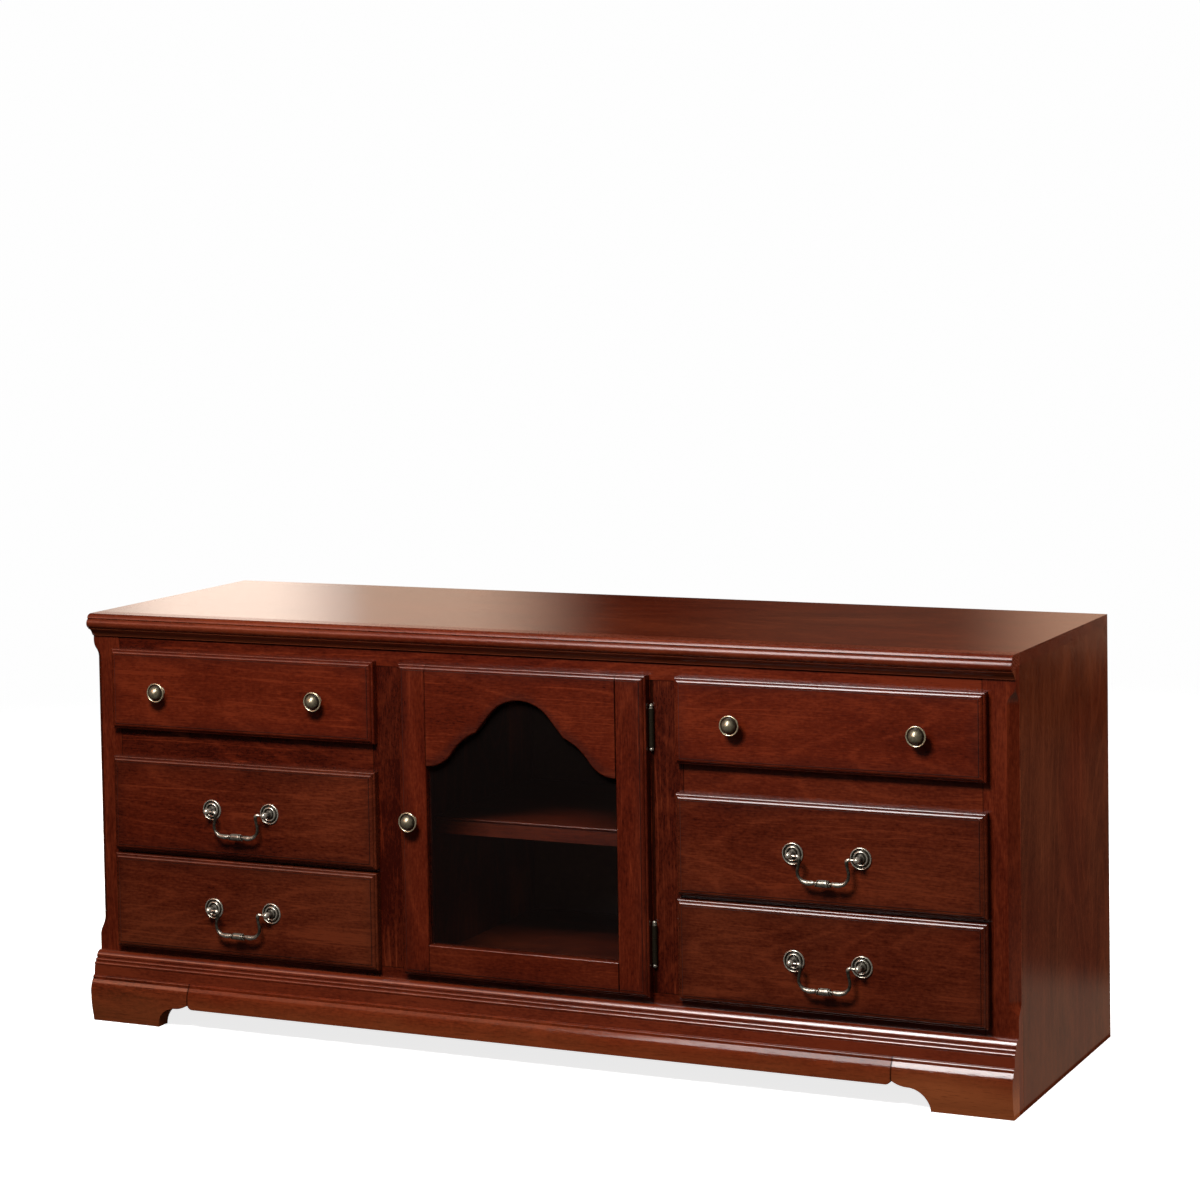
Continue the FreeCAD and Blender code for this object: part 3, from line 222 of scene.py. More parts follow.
class Graph:
    """Nodes of one material, ending in a Principled shader."""

    def __init__(self, name):
        self.material = bpy.data.materials.new(name)
        self.material.use_nodes = True
        self.tree = self.material.node_tree
        self.tree.nodes.clear()
        self.place = self.add("ShaderNodeTexCoord", output="Object")

    def add(self, kind, settings=None, sockets=None, output=0):
        """Adds a node of any kind: its settings first, then the values or links of its sockets."""
        node = self.tree.nodes.new(kind)
        for name, value in (settings or {}).items():
            setattr(node, name, value)
        for name, value in (sockets or {}).items():
            if isinstance(value, Value):
                self.tree.links.new(value.socket, node.inputs[name])
            else:
                node.inputs[name].default_value = value
        return Value(self, node.outputs[output]) if node.outputs else None

    def axes(self, vector=None):
        """A vector's parts along X, Y and Z, or those of the object coordinates."""
        node = self.add("ShaderNodeSeparateXYZ", sockets={"Vector": vector or self.place}).socket.node
        return [Value(self, socket) for socket in node.outputs]

    def direction(self):
        """Parts along X, Y and Z of the direction in which the surface looks."""
        return self.axes(self.add("ShaderNodeTexCoord", output="Normal"))

    def facing(self, axis):
        """1 on faces that look along an axis, and 0 on the others."""
        return abs(self.direction()[axis]).fade(*FACING_TILT)

    def laid(self, scale, offset=(0, 0, 0)):
        """Object coordinates stretched along the grain and moved to another spot of the pattern."""
        sockets = {"Vector": self.place, "Location": offset, "Scale": scale}
        return self.add("ShaderNodeMapping", sockets=sockets)

    def noise(self, vector, detail=2.0, roughness=0.5, distortion=0.0):
        """A noise pattern on laid coordinates, which varies about one half."""
        sockets = {
            "Vector": vector, "Scale": 1.0, "Detail": detail, "Roughness": roughness,
            "Distortion": distortion,
        }
        return self.add("ShaderNodeTexNoise", sockets=sockets)

    def even_noise(self, scale, offset=(0, 0, 0), **settings):
        """A noise pattern with no grain, of so many spots a metre."""
        return self.noise(self.laid((scale, scale, scale), offset), **settings)

    def mix(self, factor, first, second):
        """Mixes two colours, each a link or three numbers."""
        sockets = {"Factor": factor, 6: rgba(first), 7: rgba(second)}
        return self.add("ShaderNodeMix", {"data_type": "RGBA"}, sockets, output=2)

    def choose(self, factor, first, second):
        """Mixes two vectors."""
        sockets = {"Factor": factor, 4: first, 5: second}
        return self.add("ShaderNodeMix", {"data_type": "VECTOR"}, sockets, output=1)

    def bump(self, height, strength, distance):
        """Normals of a surface with a height pattern, which is a distance in metres deep."""
        sockets = {"Height": height, "Strength": strength, "Distance": distance}
        return self.add("ShaderNodeBump", sockets=sockets)

    def shade(self, gap_and_shade=0.0, **sockets):
        """The material, a Principled shader with the named sockets that is dark in gaps between boards and in
        lines of painted shade.
        """
        named = {name.replace("_", " "): value for name, value in sockets.items()}
        shader = self.add("ShaderNodeBsdfPrincipled", sockets=named)
        if isinstance(gap_and_shade, Value):
            dark = {"Base Color": rgba(GAP_AND_SHADE_COLOUR), "Roughness": 1.0, "Specular IOR Level": 0.0}
            gap_and_shade_shader = self.add("ShaderNodeBsdfPrincipled", sockets=dark)
            shader = self.add("ShaderNodeMixShader", sockets={0: gap_and_shade, 1: shader, 2: gap_and_shade_shader})
        self.add("ShaderNodeOutputMaterial", sockets={"Surface": shader})
        return self.material


def rgba(value):
    """A colour as a socket takes it: a link, or three numbers and full cover."""
    return value if isinstance(value, Value) else (*value, 1.0)


def toned(base, factor):
    """A colour made darker or paler."""
    return tuple(min(1, part * factor) for part in base)


def board_edge(graph, box, axes):
    """Distance in metres from the nearest edge of a board, across the named axes."""
    low, high = box
    places = graph.axes()
    distance = None
    for axis in axes:
        nearest = (places[axis] - low[axis]).least(high[axis] - places[axis])
        distance = nearest if distance is None else distance.least(nearest)
    return distance


def grain_scale(grain, along, across):
    """Pattern scale that is long along the grain's axis and short across it."""
    return tuple(along if axis == grain else across for axis in (X, Y, Z))


PATTERN_STEP = (1.37, 2.11, 0.83)


def pattern_spot(seed):
    """Spot of the endless grain pattern that a board is cut from."""
    return tuple(seed * step for step in PATTERN_STEP)


ARCH_CROWN = 48.5 * MM
ARCH_CUSP = (75.0 * MM, 53.5 * MM)


def above_arch(graph, box):
    """Height in metres above the door's arch, which falls from its crown to a cusp and on to the stile."""
    low, high = box
    out, drop = ARCH_CUSP
    crown = high[Z] - ARCH_CROWN
    sideways = abs(graph.axes()[X])
    crown_side = sideways.least(out)
    to_cusp = crown_side * crown_side * (drop / out ** 2)
    to_stile = sideways.fade(out, high[X]) * (crown - drop - low[Z])
    return graph.axes()[Z] - (crown - (to_cusp + to_stile))


# Scales of the wood's patterns along the grain and across it, and their shares in the stain's depth
NOISE_MEAN = 0.5
FIGURE_SCALE, FIGURE_SHARE = (1.7, 17), 0.40
FIBRE_SCALE, FIBRE_SHARE = (60, 480), 0.75
FLECK_SCALE, FLECK_SHARE = (150, 260), 0.55
BLOTCH_SCALE, BLOTCH_SHARE = (7, 12), 0.60
CLOUD_SCALE, CLOUD_SHARE = 3.1, 0.35
RING_SCALE, RING_SHARE = (1.2, 6), 0.15
RING_COUNT, RING_MIDDLE, RING_WIDTH, RING_MEAN = 15, 0.5, 0.34, 0.2
GROWTH_SCALE, GROWTH_SHARE = (1.5, 55), 0.40
GROWTH_MIDDLE, GROWTH_WIDTH, GROWTH_PATCHES = 0.5, 0.035, (0.42, 0.60)
PORE_SCALE, PORE_SHARE, PORE_EDGE = (42, 1000), 0.40, (0.60, 0.72)

# Depths at which one stain gives way to the next
DEEP_TO_RED = (0.08, 0.55)
RED_TO_BRIGHT = (0.45, 0.95)
DEEP_TO_BROWN = (0.10, 0.90)
BROWN_LIFT, BROWN_PATCHES, BROWN_START = 1.5, (0.25, 0.65), 0.4
AMBER_HEIGHTS, AMBER_RAGGED = (80 * MM, 15 * MM), 60 * MM

# Glazing along the edges, painted shade in the lips' quirks, on chamfers and under other parts, dark joints,
# and paler edge lines that on the drawer fronts are a painted highlight
LIP_GLAZE, LIP_GLAZE_REACH, LIP_GLAZE_RAGGED = 0.25, (30 * MM, 2 * MM), 24 * MM
LIP_QUIRK_PLACE, LIP_QUIRK_WIDTH, LIP_QUIRK_SHADE = 9.2 * MM, 1.6 * MM, 0.80
ARCH_GLAZE, ARCH_GLAZE_REACH = 0.45, 22 * MM
CHAMFER_SHADE, CHAMFER_TILT = 0.18, (0.15, 0.45)
JOINT_AND_SHADE_WIDTH, JOINT_AND_SHADE_DEPTH = 4.0 * MM, 0.95
LIGHTENED_WIDTH, LIGHTENED_PATCHES, LIGHTENED_SHARE = 3.0 * MM, (0.48, 0.62), 0.6
FIBRE_ROUGHNESS, GLAZE_AND_SHADE_ROUGHNESS = 0.10, 0.12
FIBRE_HEIGHT, STAIN_BUMP, STAIN_BUMP_DEPTH = 0.6, 0.10, 0.4 * MM


def stained(
    node, grain, seed, finish, tone=0.0, brown=0.5, amber=0.0, gloss=0.0, contrast=1.0, lipped=None,
    chamfered=False, arched=False, joint_and_shade_lines=(), lightened=(), shine=0.5, lean=0.0
):
    """Coats a board with stained, lacquered wood: growth rings, fibres, pores and blotches, glazing along the
    edges, and painted shade.

    Tone makes the stain paler, and lean adds to it for each metre to the right. Brown is the share of that
    stain, and amber the share of a paler amber colour, only near the floor. Gloss is added to the roughness,
    contrast scales the figure, and shine is the strength of the lacquer's reflection. A lipped board gets
    glazing along the edges of the box given and painted shade in the lip's quirk, an arched one glazing
    above the door's arch, and a chamfered one painted shade on its slanting faces. Joint and shade lines
    are (axis, place) pairs of dark lines, which along X are at both sides of the middle: joints between
    boards, and painted shade where another part shades the board. Lightened edges are such pairs too,
    paler amber lines in patches: on the stiles where the stain has rubbed away, and on the drawer fronts
    a painted highlight along the lip.
    """
    graph = Graph(f"{node}_stain")
    spot = pattern_spot(seed)

    def streaks(scale, **settings):
        return graph.noise(graph.laid(grain_scale(grain, *scale), spot), **settings)

    figure = streaks(FIGURE_SCALE, detail=3, distortion=1.2)
    rings = (streaks(RING_SCALE, detail=1) * RING_COUNT).fraction().line(RING_MIDDLE, RING_WIDTH)
    fibre = streaks(FIBRE_SCALE, detail=3, roughness=0.7)
    fleck = streaks(FLECK_SCALE, detail=2)
    pores = streaks(PORE_SCALE, detail=1).fade(*PORE_EDGE)
    blotch = streaks(BLOTCH_SCALE, detail=3, roughness=0.6)
    cloud = graph.even_noise(CLOUD_SCALE, spot, detail=2)
    growth = streaks(GROWTH_SCALE, detail=1).line(GROWTH_MIDDLE, GROWTH_WIDTH)
    growth = growth * blotch.fade(*GROWTH_PATCHES)
    spread = (
        (figure - NOISE_MEAN) * FIGURE_SHARE + (fibre - NOISE_MEAN) * FIBRE_SHARE
        + (fleck - NOISE_MEAN) * FLECK_SHARE + (blotch - NOISE_MEAN) * BLOTCH_SHARE
        + (rings - RING_MEAN) * RING_SHARE + (cloud - NOISE_MEAN) * CLOUD_SHARE + growth * GROWTH_SHARE
    )
    depth = spread * contrast + (0.5 + tone)
    if lean:
        depth = depth + graph.axes()[X] * lean
    stain = graph.mix(depth.fade(*DEEP_TO_RED), finish.stain_deep, finish.stain_red)
    stain = graph.mix(depth.fade(*RED_TO_BRIGHT), stain, finish.stain_bright)
    pale_brown = toned(finish.stain_brown, BROWN_LIFT)
    shaded_brown = graph.mix(depth.fade(*DEEP_TO_BROWN), finish.stain_deep, pale_brown)
    stain = graph.mix(cloud.rise(*BROWN_PATCHES, BROWN_START) * brown, stain, shaded_brown)
    # A paler amber colour that rises towards the floor.
    if amber:
        height = graph.axes()[Z] + (blotch - NOISE_MEAN) * AMBER_RAGGED
        stain = graph.mix(height.fade(*AMBER_HEIGHTS) * amber, stain, finish.amber_and_highlight)
    stain = graph.mix(pores * PORE_SHARE, stain, finish.stain_deep)
    roughness = finish.lacquer_roughness + gloss + (fibre - NOISE_MEAN) * FIBRE_ROUGHNESS
    glazes_and_shades = []
    if lipped:
        edge = board_edge(graph, lipped, (X, Z))
        ragged = edge + (blotch - NOISE_MEAN) * LIP_GLAZE_RAGGED
        glazes_and_shades.append(ragged.fade(*LIP_GLAZE_REACH) * LIP_GLAZE)
        # Painted shade: a dark line in the quirk of the lip moulding.
        glazes_and_shades.append(edge.line(LIP_QUIRK_PLACE, LIP_QUIRK_WIDTH) * LIP_QUIRK_SHADE)
    if arched:
        glazes_and_shades.append(above_arch(graph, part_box(node)).fade(ARCH_GLAZE_REACH, 0.0) * ARCH_GLAZE)
    # Painted shade on the slanting faces of a chamfer, found from the direction the surface looks.
    if chamfered:
        sideways, forwards, _ = graph.direction()
        glazes_and_shades.append(abs(sideways).least(abs(forwards)).fade(*CHAMFER_TILT) * CHAMFER_SHADE)
    # Paler amber lines in patches along the lightened edges; on the drawer fronts they are a painted
    # highlight.
    for axis, place in lightened:
        rubbed = graph.axes()[axis].line(place, LIGHTENED_WIDTH) * blotch.fade(*LIGHTENED_PATCHES)
        stain = graph.mix(rubbed * LIGHTENED_SHARE, stain, finish.amber_and_highlight)
    for glaze_and_shade in glazes_and_shades:
        stain = graph.mix(glaze_and_shade, stain, finish.glaze_and_shade)
        roughness = roughness + glaze_and_shade * GLAZE_AND_SHADE_ROUGHNESS
    gap_and_shade = 0.0
    # Dark lines at joints between boards, and lines of painted shade where another part shades the board.
    for axis, place in joint_and_shade_lines:
        across = abs(graph.axes()[axis]) if axis == X else graph.axes()[axis]
        gap_and_shade = gap_and_shade + across.line(place, JOINT_AND_SHADE_WIDTH) * JOINT_AND_SHADE_DEPTH
    material = graph.shade(
        gap_and_shade, Base_Color=stain, Roughness=roughness, Specular_IOR_Level=shine,
        Normal=graph.bump(fibre * FIBRE_HEIGHT - pores, STAIN_BUMP, STAIN_BUMP_DEPTH),
    )
    coat(node, material)


BROAD_SCALE, BROAD_SHARE = (1.5, 18), 0.6
FINE_SCALE, FINE_SHARE = (8, 280), 0.4
WOOD_DARK, WOOD_PALE, WOOD_SPREAD = 0.62, 1.18, (0.30, 0.72)
WOOD_BUMP, WOOD_BUMP_DEPTH = 0.15, 0.5 * MM
ROUGHNESS_SPREAD = 0.2


def plain_wood(node, grain, seed, base, roughness, boxed=False):
    """Coats a node with unstained wood.

    On a boxed one the grain turns along Y on faces that look sideways.
    """
    graph = Graph(f"{node}_wood")
    sideways = graph.facing(X) if boxed else None

    def streaks(scale, **settings):
        laid = graph.laid(grain_scale(grain, *scale), pattern_spot(seed))
        if boxed:
            turned = graph.laid(grain_scale(Y, *scale), pattern_spot(seed + 1))
            laid = graph.choose(sideways, laid, turned)
        return graph.noise(laid, **settings)

    broad = streaks(BROAD_SCALE, detail=3, distortion=1.0)
    fine = streaks(FINE_SCALE, detail=4, roughness=0.6)
    shade = (broad * BROAD_SHARE + fine * FINE_SHARE).fade(*WOOD_SPREAD)
    material = graph.shade(
        Base_Color=graph.mix(shade, toned(base, WOOD_DARK), toned(base, WOOD_PALE)),
        Roughness=roughness + (fine - NOISE_MEAN) * ROUGHNESS_SPREAD,
        Normal=graph.bump(fine, WOOD_BUMP, WOOD_BUMP_DEPTH),
    )
    coat(node, material)


MOTTLE_SCALE, MOTTLE_SHARE = 90, 0.5
BOARD_CLOUD_SCALE, BOARD_CLOUD_SPOT, BOARD_CLOUD_SHARE = 3, (1, 2, 3), 0.5
BOARD_DARK, BOARD_PALE, BOARD_SPREAD = 0.75, 1.25, (0.25, 0.75)
BOARD_ROUGHNESS, BOARD_BUMP, BOARD_BUMP_DEPTH = 0.55, 0.1, 0.3 * MM


def pressed_board(node, base):
    """Coats a node with smooth pressed board that has a fine mottle."""
    graph = Graph(f"{node}_board")
    mottle = graph.even_noise(MOTTLE_SCALE, detail=4, roughness=0.7)
    cloud = graph.even_noise(BOARD_CLOUD_SCALE, BOARD_CLOUD_SPOT, detail=2)
    shade = (mottle * MOTTLE_SHARE + cloud * BOARD_CLOUD_SHARE).fade(*BOARD_SPREAD)
    material = graph.shade(
        Base_Color=graph.mix(shade, toned(base, BOARD_DARK), toned(base, BOARD_PALE)),
        Roughness=BOARD_ROUGHNESS + (mottle - NOISE_MEAN) * ROUGHNESS_SPREAD,
        Normal=graph.bump(mottle, BOARD_BUMP, BOARD_BUMP_DEPTH),
    )
    coat(node, material)


TARNISH_SCALE, TARNISH_ON_WORN, TARNISH_ON_BARE = 260, 0.6, 0.8
PIT_SCALE, PIT_SPOT, PIT_EDGE, PIT_SHARE = 900, (3, 1, 2), (0.62, 0.74), 0.4
METALLIC_DULL, METALLIC_RISE = 0.52, 0.16
METAL_ROUGHNESS, RUBBED_POLISH, TARNISH_ROUGHNESS = 0.37, 0.12, 0.12
METAL_BUMP, METAL_BUMP_DEPTH = 0.15, 0.3 * MM


def cast_metal(name, finish, bright, lightened=None, bare=0.0, shine=0.5):
    """Aged cast metal: bright where it is rubbed, dark with patina in the hollows, with small pits.

    Lightened names the attribute that says how far each spot is rubbed. Without one, bare says it for all.
    """
    graph = Graph(name)
    tarnish = graph.even_noise(TARNISH_SCALE, detail=4, roughness=0.65)
    pits = graph.even_noise(PIT_SCALE, PIT_SPOT, detail=2).fade(*PIT_EDGE)
    patches = tarnish - NOISE_MEAN
    if lightened:
        wear = graph.add("ShaderNodeAttribute", {"attribute_name": lightened}, output="Fac")
        rubbed = wear + patches * TARNISH_ON_WORN
    else:
        rubbed = patches * TARNISH_ON_BARE + bare
    rubbed = rubbed.fade(0.0, 1.0) * (1 - pits * PIT_SHARE)
    return graph.shade(
        Base_Color=graph.mix(rubbed, finish.metal_dull, bright),
        Metallic=METALLIC_DULL + rubbed * METALLIC_RISE,
        Roughness=METAL_ROUGHNESS - rubbed * RUBBED_POLISH + patches * TARNISH_ROUGHNESS,
        Specular_IOR_Level=shine, Normal=graph.bump(tarnish - pits, METAL_BUMP, METAL_BUMP_DEPTH),
    )


STEEL_DARK, STEEL_PALE, STEEL_ROUGHNESS = (0.42, 0.42, 0.41), (0.62, 0.62, 0.60), 0.30
BRUSHED_SCALE = (120, 900, 900)


def plated_steel(node):
    """Coats a node with brushed plated steel."""
    graph = Graph(f"{node}_steel")
    brushed = graph.noise(graph.laid(BRUSHED_SCALE), detail=3)
    material = graph.shade(
        Base_Color=graph.mix(brushed, STEEL_DARK, STEEL_PALE), Metallic=1.0,
        Roughness=STEEL_ROUGHNESS + (brushed - NOISE_MEAN) * ROUGHNESS_SPREAD,
    )
    coat(node, material)


PLASTIC_SCALE, PLASTIC_PALE, PLASTIC_ROUGHNESS = 700, 1.5, 0.5
PLASTIC_BUMP, PLASTIC_BUMP_DEPTH = 0.2, 0.3 * MM


def moulded_plastic(node, base):
    """Coats a node with plastic that has a fine moulded grain."""
    graph = Graph(f"{node}_plastic")
    grain = graph.even_noise(PLASTIC_SCALE, detail=2)
    material = graph.shade(
        Base_Color=graph.mix(grain, base, toned(base, PLASTIC_PALE)),
        Roughness=PLASTIC_ROUGHNESS + (grain - NOISE_MEAN) * ROUGHNESS_SPREAD,
        Normal=graph.bump(grain, PLASTIC_BUMP, PLASTIC_BUMP_DEPTH),
    )
    coat(node, material)


FILM_SCALE, FILM_PALE, FILM_ROUGHNESS = 6, 1.6, 0.05
GLASS_ROUGHNESS = 0.04


def pane_glass(node, finish):
    """Coats a node with thin clear glass that has a faint film of dust."""
    graph = Graph("pane")
    film = graph.even_noise(FILM_SCALE, detail=4)
    material = graph.shade(
        Base_Color=graph.mix(film, finish.glass_tint, toned(finish.glass_tint, FILM_PALE)),
        Roughness=GLASS_ROUGHNESS + film * FILM_ROUGHNESS, Alpha=finish.glass_alpha,
        Specular_IOR_Level=1.0,
    )
    material.surface_render_method = "BLENDED"
    coat(node, material)


def coat(node, material):
    """Puts a material on a fixed node, in place of what it came with."""
    mesh = NODES[node].data
    mesh.materials.clear()
    mesh.materials.append(material)


class CABINET_OT_top(bpy.types.Operator):
    """Stains the top board, its nosing and the cove under it"""

    bl_idname = "cabinet.top"
    bl_label = "Stain top"

    def execute(self, context):
        finish = context.scene.cabinet_finish
        stained("top_panel", X, 20, finish, brown=0.6, contrast=0.7)
        stained("top_nosing", X, 20, finish, tone=0.16, brown=0.5, gloss=0.07, contrast=0.7, shine=0.29)
        # The cove's pale tone is painted light that lifts it out of the nosing's shade.
        stained("cove_moulding", X, 7, finish, tone=0.40, brown=0.9)
        return {"FINISHED"}


# Painted shadow of the cove and nosing: a dark line on the top rail this far below the cove.
COVE_SHADOW = 2 * MM
# Offsets from the door's edge of the painted shadow on the right mullion along the hinge side.
HINGE_SHADOW_OFFSETS = (2.5 * MM, 5 * MM)


class CABINET_OT_face_frame(bpy.types.Operator):
    """Stains the stiles, mullions and rails of the front frame"""

    bl_idname = "cabinet.face_frame"
    bl_label = "Stain front frame"

    def execute(self, context):
        finish = context.scene.cabinet_finish
        stile_joint = (X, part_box("stile_right")[0][X])
        mullion_joint = (X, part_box("mullion_right")[1][X])
        # A dark line just below the cove is painted shadow of the cove and nosing.
        cove_painted_shadow = (Z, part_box("cove_moulding")[0][Z] - COVE_SHADOW)
        stained(
            "top_rail", X, 1, finish, tone=0.08, brown=0.2, lean=0.38, joint_and_shade_lines=(stile_joint, cove_painted_shadow)
        )
        stained("bottom_rail", X, 2, finish, joint_and_shade_lines=(stile_joint,))
        # The drawer rails' low tone is painted shade under the overhanging drawer fronts.
        stained(
            "drawer_rails", X, 3, finish, tone=-0.04, brown=0.4, lean=0.18,
            joint_and_shade_lines=(mullion_joint, stile_joint),
        )
        back_edge = (Y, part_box("stile_right")[1][Y] - MM)
        for seed, side in enumerate(SIDES, 14):
            stained(
                f"stile_{side}", Z, seed, finish, tone=0.06, brown=0.3, chamfered=True, lightened=(back_edge,)
            )
        ends = ((Z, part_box("top_rail")[0][Z]), (Z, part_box("bottom_rail")[1][Z]))
        door_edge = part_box("door_stile_right")[1][X]
        # A dark band beside the door's hinge edge is painted shadow of the door on the mullion.
        hinge_painted_shadow = tuple((X, door_edge + gap_and_shade) for gap_and_shade in HINGE_SHADOW_OFFSETS)
        # The mullions' low tone is painted shade from the door and drawer fronts beside them.
        stained("mullion_left", Z, 16, finish, tone=-0.22, brown=0.5, joint_and_shade_lines=ends)
        stained("mullion_right", Z, 17, finish, tone=-0.22, brown=0.5, joint_and_shade_lines=ends + hinge_painted_shadow)
        return {"FINISHED"}


class CABINET_OT_base(bpy.types.Operator):
    """Stains the base moulding, the apron and the bracket feet"""

    bl_idname = "cabinet.base"
    bl_label = "Stain base"

    def execute(self, context):
        finish = context.scene.cabinet_finish
        joint = ((X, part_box("foot_right")[0][X]),)
        feet = {"brown": 0.5, "gloss": -0.09, "contrast": 1.8, "joint_and_shade_lines": joint, "shine": 0.38}
        stained("base_moulding", X, 8, finish, tone=0.27, brown=0.36, shine=0.68, lean=0.14)
        stained(
            "base_apron", X, 9, finish, tone=0.21, brown=0.26, amber=0.5, gloss=-0.09, contrast=1.4,
            lean=0.06, joint_and_shade_lines=joint, shine=0.14,
        )
        stained("foot_left", X, 10, finish, tone=0.08, amber=0.45, **feet)
        stained("foot_right", X, 11, finish, tone=0.25, amber=1.0, **feet)
        return {"FINISHED"}


class CABINET_OT_end_panels(bpy.types.Operator):
    """Stains the two end panels"""

    bl_idname = "cabinet.end_panels"
    bl_label = "Stain ends"

    def execute(self, context):
        finish = context.scene.cabinet_finish
        joint = ((Y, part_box("stile_right")[1][Y]),)
        for seed, side in enumerate(SIDES, 30):
            stained(
                f"side_panel_{side}", Z, seed, finish, tone=0.05, brown=1.2, contrast=0.8, joint_and_shade_lines=joint
            )
        return {"FINISHED"}


class CABINET_OT_drawer_fronts(bpy.types.Operator):
    """Stains the six drawer fronts, redder above and browner below"""

    bl_idname = "cabinet.drawer_fronts"
    bl_label = "Stain drawer fronts"

    def execute(self, context):
        finish = context.scene.cabinet_finish
        seed = 40
        for row, tone, brown in zip(ROWS, (0.11, 0.04, 0.06), (0.12, 0.60, 0.78)):
            for side in SIDES:
                node = f"drawer_front_{row}_{side}"
                # A paler amber line along each front's left lip is a painted highlight.
                edge = (X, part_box(node)[0][X])
                stained(node, X, seed, finish, tone=tone, brown=brown, lipped=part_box(node), lightened=(edge,))
                seed += 1
        return {"FINISHED"}


class CABINET_OT_door(bpy.types.Operator):
    """Stains the door's stiles, rails and glass strips and glazes it"""

    bl_idname = "cabinet.door"
    bl_label = "Finish door"

    def execute(self, context):
        finish = context.scene.cabinet_finish
        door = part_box("door_stile_left")[0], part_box("door_stile_right")[1]
        rails = {"lipped": door, "joint_and_shade_lines": ((X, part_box("door_stile_right")[0][X]),)}
        stained("door_top_rail", X, 50, finish, tone=0.02, brown=0.2, arched=True, **rails)
        stained("door_bottom_rail", X, 51, finish, tone=0.04, brown=0.4, **rails)
        for seed, side in enumerate(SIDES, 52):
            stained(f"door_stile_{side}", Z, seed, finish, tone=-0.01, brown=0.25, lipped=door)
        stained("glass_stops", X, 54, finish, tone=-0.1)
        pane_glass("door_glass", finish)
        return {"FINISHED"}


class CABINET_OT_inside(bpy.types.Operator):
    """Finishes the boards inside, the runners and the back"""

    bl_idname = "cabinet.inside"
    bl_label = "Finish inside"

    def execute(self, context):
        finish = context.scene.cabinet_finish
        for seed, side in enumerate(SIDES, 60):
            stained(f"partition_{side}", Z, seed, finish, tone=-0.05, brown=0.8, gloss=0.2)
        stained("bottom_panel", X, 70, finish, tone=-0.02, brown=0.8, gloss=0.15)
        stained("shelf", X, 71, finish, tone=0.12, brown=0.4, gloss=0.15)
        plain_wood("drawer_runners", Y, 90, finish.block_wood, roughness=0.7)
        plain_wood("glue_blocks", X, 91, finish.block_wood, roughness=0.7)
        pressed_board("back_panel", finish.back_board)
        return {"FINISHED"}


class CABINET_OT_drawer_boxes(bpy.types.Operator):
    """Finishes the six drawer boxes"""

    bl_idname = "cabinet.drawer_boxes"
    bl_label = "Finish drawer boxes"

    def execute(self, context):
        finish = context.scene.cabinet_finish
        seed = 80
        for row in ROWS:
            for side in SIDES:
                node = f"drawer_box_{row}_{side}"
                plain_wood(node, X, seed, finish.box_wood, roughness=0.5, boxed=True)
                seed += 3
        return {"FINISHED"}


CATCH_BLACK = (0.020, 0.014, 0.010)


class CABINET_OT_fittings(bpy.types.Operator):
    """Finishes the hinges, catch, pins and screws"""

    bl_idname = "cabinet.fittings"
    bl_label = "Finish fittings"

    def execute(self, context):
        finish = context.scene.cabinet_finish
        bright = finish.metal_bright
        for node in ("hinge_frame_leaves", "hinge_door_leaves"):
            coat(node, cast_metal(f"{node}_metal", finish, bright, bare=-0.10, shine=0.10))
        coat("hinge_pins", cast_metal("hinge_pins_metal", finish, bright, bare=0.45))
        moulded_plastic("door_catch", CATCH_BLACK)
        for node in ("catch_plate", "back_screws", "shelf_pins"):
            plated_steel(node)
        return {"FINISHED"}


def turn_section(shape, section, centre, along, across, steps):
    """Turns a section of (distance, radius, rubbed) points in millimetres a full circle about an axis."""
    rubbed = shape.verts.layers.float.get("rubbed") or shape.verts.layers.float.new("rubbed")
    wire = []
    for distance, radius, wear in section:
        vert = shape.verts.new(centre + along * (distance * MM) + across * (radius * MM))
        vert[rubbed] = wear
        wire.append(vert)
    edges = [shape.edges.new(pair) for pair in zip(wire, wire[1:])]
    bmesh.ops.spin(
        shape, geom=wire + edges, cent=centre, axis=along, angle=2 * math.pi, steps=steps, use_merge=True,
        use_duplicate=False,
    )


MERGE_DISTANCE = 0.01 * MM


def finished(name, shape, material, levels):
    """Closes a shape's poles and the joins of its turning, turns its faces outwards and makes it a smooth
    object.
    """
    bmesh.ops.remove_doubles(shape, verts=shape.verts, dist=MERGE_DISTANCE)
    bmesh.ops.recalc_face_normals(shape, faces=shape.faces)
    for face in shape.faces:
        face.smooth = True
    mesh = bpy.data.meshes.new(name)
    shape.to_mesh(mesh)
    shape.free()
    mesh.materials.append(material)
    piece = bpy.data.objects.new(name, mesh)
    bpy.context.scene.collection.objects.link(piece)
    hide_from(piece, "glossy")
    rounding = piece.modifiers.new("rounding", "SUBSURF")
    rounding.levels = levels
    rounding.render_levels = levels
    return piece


def hide_from(piece, *rays):
    """Hides an object from the named kinds of ray."""
    for ray in rays:
        setattr(piece, f"visible_{ray}", False)


def pull_centres(node):
    """Middle of each of the like solids in a node, on the face that they stand on."""
    low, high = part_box(node)
    radius = (high[Z] - low[Z]) / 2
    places = (low[X] + radius, high[X] - radius)
    if places[1] - places[0] < radius:
        places = places[:1]
    return [Vector((x, 0, (low[Z] + high[Z]) / 2)) for x in places]


def turned_on_face(name, node, section, board, body, metal, steps):
    """A piece turned out of a board's face at each middle of a node, which it replaces."""
    shape = bmesh.new()
    for centre in pull_centres(node):
        centre.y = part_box(board)[0][Y]
        turn_section(shape, section, centre, Vector((0, -1, 0)), Vector((1, 0, 0)), steps)
    piece = finished(name, shape, metal, levels=2)
    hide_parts(node)
    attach(piece, body)


